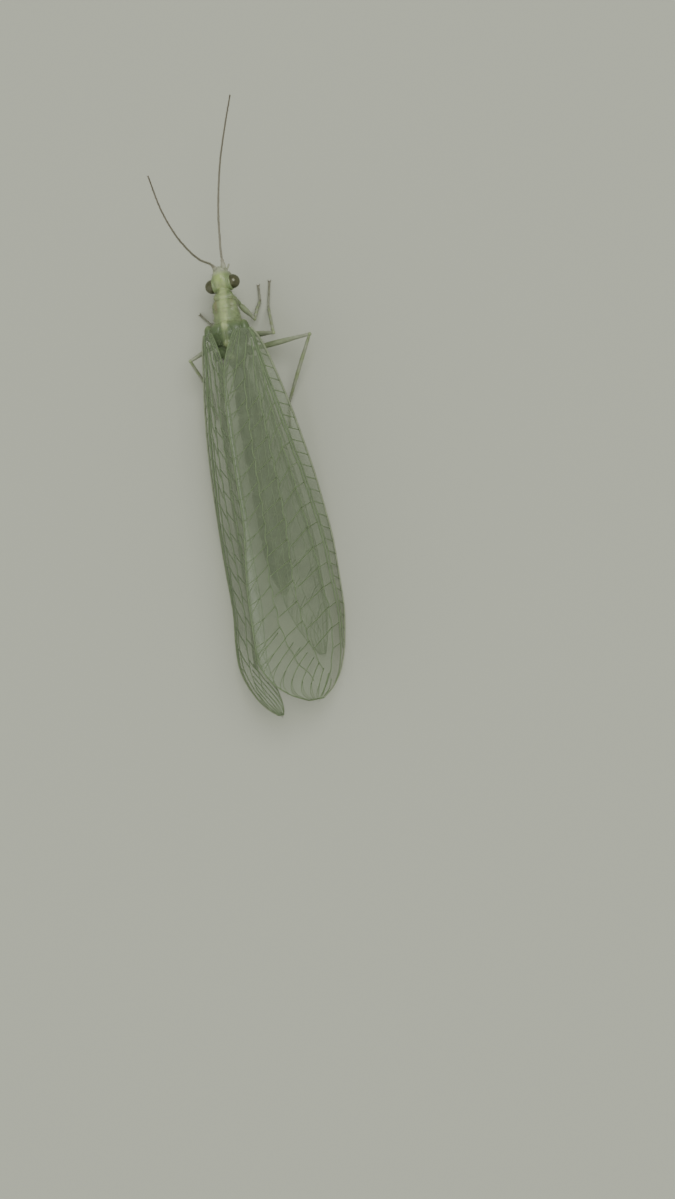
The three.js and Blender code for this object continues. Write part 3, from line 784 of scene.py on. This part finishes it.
def abdomen_tint(p, back):
    """Back darkened with painted shade from the folded wings above, pale belly, pale seams and a faint line
    along the middle.
    """
    radius, height = abdomen_station(back)
    rise = (p.z - height) / max(0.05, radius)
    # Painted shade: the top of the abdomen darkens under the wings, the belly keeps its own pale green
    tint = mix(BACK_SHADE_GREEN, BELLY_GREEN, smooth_fall(-0.7, 0.45, rise))
    share = segment_share(back)
    seam = bump_at(0.0, 0.08, min(share, 1 - share))
    tint = mix(tint, JOINT_PALE, 0.25 * seam)
    band = bump_at(follow(ABDOMEN_SWAY, back), 0.1, p.x) * smooth_step(0.5, 0.95, rise)
    return mix(tint, STRIPE_YELLOW, 0.12 * band)


def thorax_tint(p, back):
    """Yellow stripe and scutellum spots on green, rusty sides of the shield, pale underside."""
    tint = LEAF_GREEN
    if back > 2.6:
        tint = mix(LEAF_GREEN, DEEP_GREEN, smooth_step(2.6, 3.0, back))
        tint = mix(tint, BELLY_GREEN, smooth_fall(1.5, 1.9, p.z))
    over = smooth_step(2.1, 2.35, p.z)
    width = 0.15 if back < 2.7 else 0.12
    band = smooth_fall(width * 0.5, width * 1.7, abs(p.x)) * over
    band *= 1 - 0.8 * smooth_step(2.9, 3.2, back)
    tint = mix(tint, STRIPE_YELLOW, band)
    for spot_back, spot_size in SCUTELLUM_SPOTS:
        spot = exp(-((p.x / spot_size) ** 2 + ((back - spot_back) / spot_size) ** 2)) * over
        tint = mix(tint, STRIPE_YELLOW, 0.9 * spot)
    rust = bump_at(-0.36, 0.1, p.x) * bump_at(1.95, 0.35, back) * over
    rust += bump_at(0.38, 0.08, p.x) * bump_at(1.9, 0.3, back) * over * 0.6
    return mix(tint, RUSTY_BROWN, min(1.0, 0.55 * rust))


def head_tint(p, back):
    """Yellow stripe and spot on the crown, cream face, a dark mark on each cheek."""
    q = head_turn(p, -HEAD_YAW)
    over = smooth_step(2.0, 2.3, q.z)
    band = (1 - smooth_step(0.14, 0.28, abs(q.x))) * over
    tint = mix(LEAF_GREEN, STRIPE_YELLOW, band * 0.85)
    spot = exp(-((q.x / 0.22) ** 2 + ((back - 0.72) / 0.24) ** 2)) * over
    tint = mix(tint, SPOT_YELLOW, 0.8 * spot)
    face = smooth_step(-0.62, -0.36, q.y)
    tint = mix(tint, FACE_CREAM, 0.85 * face)
    cheek = bump_at(-0.55, 0.08, q.y) * bump_at(1.72, 0.16, q.z) * smooth_step(0.2, 0.32, abs(q.x))
    return mix(tint, HAIR_DARK, 0.6 * cheek)


def skin_tint(p):
    """Colour of the skin at a point, from the marks of the species, with painted shade on the abdomen's
    back.
    """
    back = -p.y
    if back > ABDOMEN_START:
        return abdomen_tint(p, back)
    if back > 1.2:
        return thorax_tint(p, back)
    return head_tint(p, back)


def remeshed(name, build, voxel, smooth_rounds):
    """One closed surface round all the blocks, smoothed where they meet."""
    data = build.mesh(name + "_blocks")
    rough = linked(name + "_blocks", data)
    voxels = rough.modifiers.new("voxels", "REMESH")
    voxels.mode = "VOXEL"
    voxels.voxel_size = voxel
    smooth = rough.modifiers.new("smooth", "SMOOTH")
    smooth.factor = 0.5
    smooth.iterations = smooth_rounds
    graph = bpy.context.evaluated_depsgraph_get()
    made = bpy.data.meshes.new_from_object(rough.evaluated_get(graph))
    made.name = name
    bpy.data.objects.remove(rough)
    return made


skin_blocks = Build()
head_blocks(skin_blocks)
thorax_blocks(skin_blocks)
abdomen_blocks(skin_blocks)
skin = remeshed("skin", skin_blocks, SKIN_VOXEL, SKIN_SMOOTHING)
carved = [v.co - v.normal * skin_relief(v.co) for v in skin.vertices]
skin.vertices.foreach_set("co", [c for point in carved for c in point])
skin.update()
set_tints(skin, [skin_tint(v.co) for v in skin.vertices])
skin_roots = [(v.co.copy(), v.normal.copy()) for v in skin.vertices]
make_piece("skin", skin, SKIN, ("head", "prothorax", "mesothorax", "metathorax", "abdomen"))


# Compound eyes with domed facets, painted brighter toward the top as a sheen

EYES = {
    "eye_right": head_turn(Vector((EYE_SIDE, -EYE_BACK, EYE_HEIGHT))),
    "eye_left": head_turn(Vector((-EYE_SIDE, -EYE_BACK, EYE_HEIGHT))),
}


def eye_piece(name, side):
    shape = bmesh.new()
    bmesh.ops.create_icosphere(shape, subdivisions=6, radius=1.0)
    facets = bmesh.new()
    bmesh.ops.create_icosphere(facets, subdivisions=5, radius=1.0)
    domes = {tuple(round(c, 4) for c in v.co) for v in facets.verts}
    facets.free()
    tints = []
    for v in shape.verts:
        dome = tuple(round(c, 4) for c in v.co) in domes
        reach = EYE_RADIUS * (1.0 if dome else 1 - FACET_DEPTH)
        way = v.co.copy()
        # Painted sheen: facets brighten from the eye's own dark bronze toward the top, as if lit from
        # above; grooves between facets stay dark
        tints.append(mix(EYE_DARK, EYE_BRONZE_AND_SHEEN, 0.55 + 0.45 * way.z) if dome else EYE_DARK)
        v.co = Vector((side * EYE_SIDE, -EYE_BACK, EYE_HEIGHT)) + Vector(
            (way.x * reach, way.y * reach, way.z * reach * EYE_FLATNESS))
        v.co = head_turn(v.co)
    data = bpy.data.meshes.new(name)
    shape.to_mesh(data)
    shape.free()
    set_tints(data, tints)
    make_piece(f"{name}_facets", data, EYE, (name,))


eye_piece("eye_right", 1)
eye_piece("eye_left", -1)


# Antennae: a thick base joint, a short second one and narrow rings beyond

def antenna_piece(name, points):
    build = Build()
    radii = []
    tints = []
    for k in range(ANTENNA_STEPS + 1):
        share = k / ANTENNA_STEPS
        length = share * 10
        thin = 0.052 - 0.022 * share
        ring = 0.5 + 0.5 * cos(tau * share * ANTENNA_RINGS)
        radius = thin * (0.86 + 0.14 * ring)
        if length < 0.36:
            radius = 0.11 * (1 - 0.5 * ((length - 0.16) / 0.3) ** 2)
        elif length < 0.54:
            radius = 0.078 * (1 - 0.6 * ((length - 0.45) / 0.16) ** 2)
        radii.append(radius)
        tints.append(mix(mix(ANTENNA_PALE, ANTENNA_TIP, share ** 0.8), HAIR_DARK, 0.3 * (1 - ring)))
    for k in range(16):
        tints[k] = mix(FACE_CREAM, ANTENNA_PALE, k / 16)
    build.tube(catmull(points, ANTENNA_STEPS), radii, tints, sides=10)
    built_piece(f"{name}_rings", build, FEELER, (name,))


for side, points in ANTENNAE.items():
    antenna_piece(f"antenna_{side}", points)


# Wings

def roof_point(wing, side, back, down, lift=0.0):
    """A point of a folded wing's middle surface, raised by lift along the way it faces."""
    growth = FLATTENING if down < 0 else (SLOPE_AT_COSTA - SLOPE_AT_RIDGE) / WING_WIDTH
    turn = radians(follow(wing["turn"], back))
    slope = SLOPE_AT_RIDGE + growth * down
    out = (sin(slope) - sin(SLOPE_AT_RIDGE)) / growth
    drop = (cos(SLOPE_AT_RIDGE) - cos(slope)) / growth
    x = follow(wing["side"], back) + out * cos(turn) + drop * sin(turn)
    z = follow(wing["height"], back) - drop * cos(turn) + out * sin(turn)
    normal = Vector((side * sin(slope - turn), 0, cos(slope - turn)))
    return Vector((side * x, -back, z)) + normal * (lift - wing["inset"])


def wing_point(wing, side, u, v, lift=0.0):
    """A point of the wing by its share along it and its share from hind margin to front margin."""
    u = clamp(u)
    v = clamp(v)
    top = follow(wing["anal"], u)
    bottom = follow(wing["costa"], u)
    place = Vector((u * 22, v * 9, side * 3 + wing["inset"]))
    wave = noise.noise(place) * WAVE_HEIGHT * min(1, 6 * v * (1 - v))
    back = wing["start"] + wing["length"] * u
    return roof_point(wing, side, back, top + (bottom - top) * v, lift + wave)


def wing_tint(u, v):
    """Green, smoky toward the end of the front margin, with a greener spot near the tip."""
    smoke = smooth_step(0.5, 0.85, u) * smooth_step(0.75, 1.0, v)
    tint = mix(WING_GREEN, WING_SMOKE, 0.6 * smoke)
    stigma = bump_at(0.8, 0.06, u) * smooth_step(0.88, 0.95, v)
    return mix(tint, STIGMA_GREEN, 0.7 * stigma)


def membrane_piece(name, wing, side):
    """Thin closed sheet: an upper and a lower grid, joined round the rim."""
    rows = MEMBRANE_ROWS
    columns = MEMBRANE_COLUMNS
    points = []
    tints = []
    for lift in (MEMBRANE_THICKNESS / 2, -MEMBRANE_THICKNESS / 2):
        for r in range(rows + 1):
            for c in range(columns + 1):
                points.append(wing_point(wing, side, r / rows, c / columns, lift))
                tints.append(wing_tint(r / rows, c / columns))
    wide = columns + 1
    under = (rows + 1) * wide
    faces = []
    for r in range(rows):
        for c in range(columns):
            a = r * wide + c
            one_way = (a, a + 1, a + wide + 1, a + wide)
            other_way = (a, a + wide, a + wide + 1, a + 1)
            upper, lower = (one_way, other_way) if side < 0 else (other_way, one_way)
            faces.append(upper)
            faces.append(tuple(under + i for i in lower))
    rim = list(range(wide))
    rim += [r * wide + columns for r in range(1, rows + 1)]
    rim += [rows * wide + c for c in range(columns - 1, -1, -1)]
    rim += [r * wide for r in range(rows - 1, 0, -1)]
    for a, b in zip(rim, rim[1:] + rim[:1]):
        faces.append((a, under + a, under + b, b) if side < 0 else (a, b, under + b, under + a))
    build = Build()
    build.add(points, faces, tints)
    film = UNDER_WING if wing["inset"] else WING
    built_piece(f"{name}_membrane", build, film, (name,))


def spaced(start, end, step):
    """Places from start to end, one step apart."""
    at = start
    while at < end:
        yield at
        at += step


class Veins:
    """All the veins of one wing, as tubes along its middle surface."""

    def __init__(self, wing, side):
        self.wing = wing
        self.side = side
        self.build = Build()
        self.lines = []
        self.fineness = 0.75 if wing["inset"] else 1.0

    def along(self, shape, start, end, thick, thin, wave=0.0, tint=VEIN_GREEN):
        count = max(3, int((end - start) * self.wing["length"] / VEIN_STEP))
        stops = []
        for k in range(count + 1):
            u = start + (end - start) * k / count
            v = follow(shape, u) + wave * sin(u * 110)
            stops.append((u, v))
        self.draw(stops, thick, thin, tint)

    def across(self, stops, kind):
        dense = []
        for (u0, v0), (u1, v1) in zip(stops, stops[1:]):
            for k in range(6):
                dense.append((u0 + (u1 - u0) * k / 6, v0 + (v1 - v0) * k / 6))
        dense.append(stops[-1])
        self.draw(dense, *VEIN_RADII[kind], VEIN_GREEN)

    def draw(self, stops, thick, thin, tint):
        line = [wing_point(self.wing, self.side, u, v) for u, v in stops]
        count = len(line) - 1
        radii = [self.fineness * (thick + (thin - thick) * k / count) for k in range(count + 1)]
        self.lines.append(stops)
        self.build.tube(line, radii, tint, sides=8)


def draw_long_veins(veins):
    veins.along(FRONT_MARGIN, 0, 1, 0.055, 0.03, tint=VEIN_PALE)
    veins.along(HIND_MARGIN, 0, 1, 0.03, 0.025)
    veins.across([(1, 0), (1, 0.5), (1, 1)], "tip")
    for vein in LONG_VEINS:
        veins.along(*vein)
    for root, end in ANAL_VEINS:
        veins.across([(0.005, root), (end * 0.5, root * 0.75), (end, 0)], "anal")


def draw_cross_veins(veins, spacing):
    """Rungs between the long veins, each leaning a little toward the tip."""
    lean = 0.012
    for u in spaced(0.035, 0.87, COSTAL_SPACING * spacing):
        veins.across([(u, follow(SUBCOSTA, u)), (u + lean, 1.0)], "rung")
    for u in spaced(0.15, 0.9, spacing):
        veins.across([(u, follow(RADIAL, u)), (u + lean, follow(SECTOR, u + lean))], "rung")
    for u in spaced(0.16, 0.86, spacing):
        inner = min(0.93, u + 0.05)
        veins.across([(u, follow(SECTOR, u)), (inner, follow(MEDIAN, inner))], "inner step")
        middle = u + 0.025
        outer = min(0.95, u + 0.062)
        veins.across([(middle, follow(MEDIAN, middle)), (outer, follow(CUBITAL, outer))], "outer step")


def draw_forks(veins, spacing):
    """Forked veins from the cubital one to the hind margin."""
    for u in spaced(0.08, 0.8, spacing):
        v = follow(CUBITAL, u)
        fork = (u + 0.028, v * 0.45)
        veins.across([(u, v), fork], "stem")
        for reach in (0.016, 0.042):
            veins.across([fork, (fork[0] + reach, 0)], "fork")


def draw_tip_rays(veins):
    """Forked veins that fan out round the tip."""
    for k in range(TIP_RAYS):
        share = k / (TIP_RAYS - 1)
        start = (0.81 + 0.145 * share, 0.2 + 0.66 * share)
        ends = []
        for spread in (-0.025, 0.025):
            at = share + spread
            ends.append((min(1.0, 0.865 + 0.3 * at), max(0.0, (at - 0.45) / 0.58)))
        middle = tuple(start[i] * 0.5 + (ends[0][i] + ends[1][i]) * 0.25 for i in (0, 1))
        veins.across([start, middle], "stem")
        for end in ends:
            veins.across([middle, end], "ray")


drawn = {}
for name, (wing, side) in WINGS.items():
    membrane_piece(name, wing, side)
    spacing = HIND_SPACING if wing["inset"] else FORE_SPACING
    veins = Veins(wing, side)
    draw_long_veins(veins)
    draw_cross_veins(veins, spacing)
    draw_forks(veins, spacing)
    draw_tip_rays(veins)
    drawn[name] = veins.lines
    built_piece(f"{name}_veins", veins.build, VEIN, (name,))


# Legs

def leg_joints(name):
    """Root, trochanter, knee, ankle and toe of a leg."""
    kind, hand = name.split("_")
    roots = mirrored(LEG_ROOTS[kind], -1 if hand == "left" else 1)
    return roots + [Vector(p) for p in LEGS[name]]


def draw_thigh(build, root, trochanter, knee):
    coxa_radii = [LEG_RADII["coxa"] - COXA_TAPER * (k / 10) ** 1.5 for k in range(11)]
    build.tube(straight(root, trochanter, 10), coxa_radii, BELLY_GREEN, sides=14)
    build.ball(trochanter, LEG_RADII["trochanter"], JOINT_PALE)
    thin = LEG_RADII["femur"]
    femur_radii = [thin + FEMUR_SWELL * sin(pi * k / 12) for k in range(12)]
    femur_radii += [thin - 0.004 * k for k in range(5)]
    femur_tints = [mix(LEAF_GREEN, LIMB_PALE, k / 16) for k in range(17)]
    build.tube(straight(trochanter, knee, 16), femur_radii, femur_tints, sides=12)
    build.ball(knee, LEG_RADII["knee"], JOINT_PALE)


def draw_shin(build, knee, ankle, swell):
    tibia = []
    radii = []
    tints = []
    for k in range(25):
        arch = sin(pi * k / 24)
        tibia.append(knee.lerp(ankle, k / 24) + TIBIA_BOW * arch)
        radii.append(LEG_RADII["tibia"] + swell * arch - 0.012 * k / 24)
        tints.append(mix(LIMB_PALE, JOINT_PALE, 0.5 + 0.5 * sin(k)))
    build.tube(tibia, radii, tints, sides=12)
    build.ball(ankle, LEG_RADII["ankle"], LIMB_TIP)


def draw_foot(build, ankle, toe):
    """Five joints, a pad and two claws."""
    way = toe - ankle
    radii = [LEG_RADII["foot"] + 0.02 * (k / 6) for k in range(6)] + [0.04]
    for a, b in zip(FOOT_JOINTS, FOOT_JOINTS[1:]):
        line = straight(ankle + way * a, ankle + way * b, 6)
        build.tube(line, radii, mix(LIMB_PALE, LIMB_TIP, b), sides=10)
    ahead = Vector((way.x, way.y, 0)).normalized()
    aside = Vector((-ahead.y, ahead.x, 0))
    build.blob(ankle + way * 0.97 + Vector((0, 0, -0.02)), (0.05, 0.05, 0.035), LIMB_TIP)
    for side in (-1, 1):
        claw = [ankle + way * share + aside * side * out + ahead * on + Vector((0, 0, up))
                for share, out, on, up in CLAW]
        claw_radii = [LEG_RADII["claw"] - 0.0018 * k for k in range(9)]
        build.tube(catmull(claw, 8), claw_radii, HAIR_DARK, sides=6)


for name in LEGS:
    leg = Build()
    root, trochanter, knee, ankle, toe = leg_joints(name)
    draw_thigh(leg, root, trochanter, knee)
    draw_shin(leg, knee, ankle, TIBIA_SWELL[name.split("_")[0]])
    draw_foot(leg, ankle, toe)
    built_piece(name + "_limb", leg, LIMB, (name,))


# Mouthparts: jointed feelers of the jaws and the lip, and two dark jaw tips

def draw_feeler(build, stops, side, thick):
    joints = [head_turn(p) for p in mirrored(stops, side)]
    for k, (start, end) in enumerate(zip(joints, joints[1:])):
        radii = [thick * (0.62 + 0.38 * sin(pi * (0.12 + 0.76 * i / 8))) for i in range(9)]
        if k == len(stops) - 2:
            radii = [r * (1 - 0.5 * i / 8) for i, r in enumerate(radii)]
        build.tube(straight(start, end, 8), radii, mix(FACE_CREAM, LIMB_TIP, k / 5), sides=12)


mouthparts = Build()
for side in (-1, 1):
    draw_feeler(mouthparts, JAW_FEELER, side, 0.042)
    draw_feeler(mouthparts, LIP_FEELER, side, 0.034)
    tip = catmull([head_turn(p) for p in mirrored(JAW_TIP, side)], 10)
    tip_tints = [mix(FACE_CREAM, MOUTH_BROWN, i / 10) for i in range(11)]
    mouthparts.tube(tip, [0.05 - 0.004 * i for i in range(11)], tip_tints, sides=12)
built_piece("mouthparts", mouthparts, LIMB)


# Hairs: each one a tuft of its own, with its patch of the coat's map where it stands on the skin

def hair(build, root, way, length, radius, droop, tint, place):
    """Bent three-sided bristle; place is its root's spot on the unwrapped skin."""
    way = way.normalized()
    aside = way.cross(Vector((0.3, 0.9, 0.2))).normalized()
    over = way.cross(aside)
    points = []
    uvs = []
    for along, size in ((0.0, 1.0), (0.5, 0.7)):
        centre = root + way * length * along + droop * along * along
        for i in range(3):
            angle = tau * i / 3
            points.append(centre + (aside * cos(angle) + over * sin(angle)) * radius * size)
            reach = PATCH * 0.5 * (1 - 0.5 * along)
            uvs.append((place[0] + cos(angle) * reach, place[1] + sin(angle) * reach))
    points.append(root + way * length + droop)
    uvs.append(place)
    faces = [(2, 1, 0)]
    for i in range(3):
        n = (i + 1) % 3
        faces.append((i, n, n + 3, i + 3))
        faces.append((i + 3, n + 3, 6))
    build.add(points, faces, tint, uvs)


def on_map(u, v):
    """Place on the coat's map, a little inside its edge."""
    return 0.02 + 0.96 * u, 0.02 + 0.96 * v


def jitter(reach):
    return rng.uniform(-reach, reach)


def round_limb(ahead, share, index, limbs):
    """A random way out of a limb, and its place on the coat's map, which the limbs divide."""
    aside = ahead.cross(Vector((0.2, 0.1, 1.0))).normalized()
    angle = rng.uniform(0, tau)
    out = aside * cos(angle) + ahead.cross(aside) * sin(angle)
    return out, ((index + 0.1 + 0.8 * angle / tau) / limbs, 0.02 + 0.96 * share)


def body_hairs():
    build = Build()
    for i in rng.sample(range(len(skin_roots)), BODY_HAIR_SPOTS):
        root, normal = skin_roots[i]
        back = -root.y
        chance, length = next((share, size) for end, share, size in BODY_HAIR_ZONES if back < end)
        if rng.random() > chance:
            continue
        if back < 1.4 and min((root - eye).length for eye in EYES.values()) < EYE_RADIUS + 0.06:
            continue
        way = normal + Vector((jitter(0.2), -0.55, jitter(0.2)))
        place = on_map(atan2(root.x, root.z - 1.6) / tau + 0.5, back / ABDOMEN_END)
        droop = Vector((0, -0.25 * length, -0.05 * length))
        tint = mix(HAIR_PALE, HAIR_DARK, 0.35 * rng.random())
        length *= rng.uniform(0.7, 1.2)
        hair(build, root - normal * 0.004, way, length, 0.0055, droop, tint, place)
    built_piece("body_hairs", build, HAIR, coat=True)


def wing_hair_spots(name, wing):
    """Fringe round the margin and short bristles along the veins: place, way out and length."""
    spots = []
    steps = int(wing["length"] / WING_HAIR_SPACING)
    for k in range(steps):
        u = (k + rng.random()) / steps
        spots.append((u, 0.0, (0.25, -1.0), 0.16 if u > 0.1 else 0.1))
        spots.append((u, 1.0, (0.45, 1.0), 0.09))
    for k in range(12):
        spots.append((1.0, (k + rng.random()) / 12, (1.0, 0.0), 0.15))
    for stops in drawn[name]:
        for (u0, v0), (u1, v1) in zip(stops, stops[1:]):
            if rng.random() < 0.55:
                share = rng.random()
                spots.append((clamp(u0 + (u1 - u0) * share), clamp(v0 + (v1 - v0) * share), None, 0.085))
    return spots


def wing_hairs(name, wing, side):
    build = Build()
    for u, v, out, length in wing_hair_spots(name, wing):
        root = wing_point(wing, side, u, v)
        normal = (root - wing_point(wing, side, u, v, -0.05)).normalized()
        ahead = wing_point(wing, side, u + 0.01, v) - wing_point(wing, side, u - 0.01, v)
        across = wing_point(wing, side, u, v + 0.02) - wing_point(wing, side, u, v - 0.02)
        ahead.normalize()
        if out is None:
            way = normal + ahead * 0.7
        else:
            way = ahead * out[0] + across.normalized() * out[1] + normal * 0.15
        way += Vector((jitter(0.1), jitter(0.1), jitter(0.1)))
        if root.z < 0.12 and out is not None:
            way.z = max(way.z, 0.0)
            length *= 0.6
        tint = mix(VEIN_PALE, HAIR_DARK, 0.3 + 0.4 * rng.random())
        length *= rng.uniform(0.8, 1.15)
        hair(build, root, way, length, 0.005, ahead * 0.02, tint, on_map(u, v))
    built_piece(f"{name}_hairs", build, HAIR, coat=True)


def leg_hairs():
    build = Build()
    tint = mix(HAIR_PALE, HAIR_DARK, 0.6)
    for index, name in enumerate(LEGS):
        trochanter, knee, ankle, toe = leg_joints(name)[1:]
        parts = (
            (trochanter, knee, 0.11, 60, 0.1),
            (knee, ankle, 0.06, 150, 0.09),
            (ankle, toe, 0.04, 60, 0.06),
        )
        for start, end, radius, count, length in parts:
            ahead = (end - start).normalized()
            for k in range(count):
                share = 0.04 + 0.92 * (k + rng.random()) / count
                out, place = round_limb(ahead, share, index, len(LEGS))
                spot = start.lerp(end, share) + out * radius * 0.85
                if start == knee:
                    spot += TIBIA_BOW * sin(pi * share)
                if spot.z < 0.1 and out.z < 0.1:
                    continue
                size = length * rng.uniform(0.8, 1.2)
                hair(build, spot, out + ahead * 0.9, size, 0.005, ahead * 0.02, tint, place)
    built_piece("leg_hairs", build, HAIR, coat=True)


def antenna_hairs():
    build = Build()
    tint = mix(ANTENNA_PALE, HAIR_DARK, 0.6)
    for index, points in enumerate(ANTENNAE.values()):
        line = catmull(points, ANTENNA_STEPS)
        for k in range(20, ANTENNA_STEPS):
            ahead = (line[k] - line[k - 1]).normalized()
            share = k / ANTENNA_STEPS
            for _ in range(2):
                out, place = round_limb(ahead, share, index, len(ANTENNAE))
                root = line[k] + out * (0.044 - 0.02 * share)
                hair(build, root, out * 0.6 + ahead, 0.07, 0.004, ahead * 0.01, tint, place)
    built_piece("antenna_hairs", build, HAIR, coat=True)


body_hairs()
for name, (wing, side) in WINGS.items():
    wing_hairs(name, wing, side)
leg_hairs()
antenna_hairs()


# Camera, light and floor

camera_data = bpy.data.cameras.new("camera")
camera = linked("camera", camera_data)
scene.camera = camera
view = (CAMERA - TARGET).normalized()
forward = Vector((0, 1, 0))
up_plain = (forward - view * forward.dot(view)).normalized()
right_plain = up_plain.cross(view)
up = up_plain * cos(TILT) + right_plain * sin(TILT)
right = up.cross(view)
rows = [(right[i], up[i], view[i], ORIGIN[i] + CAMERA[i] * MM) for i in range(3)]
camera.matrix_world = Matrix(rows + [(0, 0, 0, 1)])
camera_data.sensor_width = SENSOR
camera_data.lens = SENSOR * FOCAL_PIXELS / PHOTO_HEIGHT
camera_data.clip_start = 0.002
camera_data.clip_end = 10

floor_corners = [(-1, -1), (1, -1), (1, 1), (-1, 1)]
floor_data = bpy.data.meshes.new("floor")
floor_data.from_pydata([(x * FLOOR_HALF, y * FLOOR_HALF, 0) for x, y in floor_corners], [], [(0, 1, 2, 3)])
to_metres(floor_data)
floor = linked("floor", floor_data)
floor_paint = bpy.data.materials.new("floor")
floor_paint.use_nodes = True
floor_shader = floor_paint.node_tree.nodes["Principled BSDF"]
set_inputs(floor_shader, {"Base Color": FLOOR_PAINT, "Roughness": 0.8})
floor_data.materials.append(floor_paint)

world = bpy.data.worlds.new("studio")
scene.world = world
world.use_nodes = True
set_inputs(world.node_tree.nodes["Background"], {"Color": SKY_TINT, "Strength": SKY_STRENGTH})


def soft_light(name, way, angle, strength):
    """Far, broad lamp that lights the whole floor alike."""
    data = bpy.data.lights.new(name, "SUN")
    data.angle = radians(angle)
    data.energy = strength
    lamp = linked(name, data)
    lamp.rotation_mode = "QUATERNION"
    lamp.rotation_quaternion = Vector(way).to_track_quat("Z", "Y")


soft_light("key", (0.45, 0.3, 1.0), 35, 1.65)
soft_light("fill", (-0.9, -0.4, 1.0), 70, 0.55)
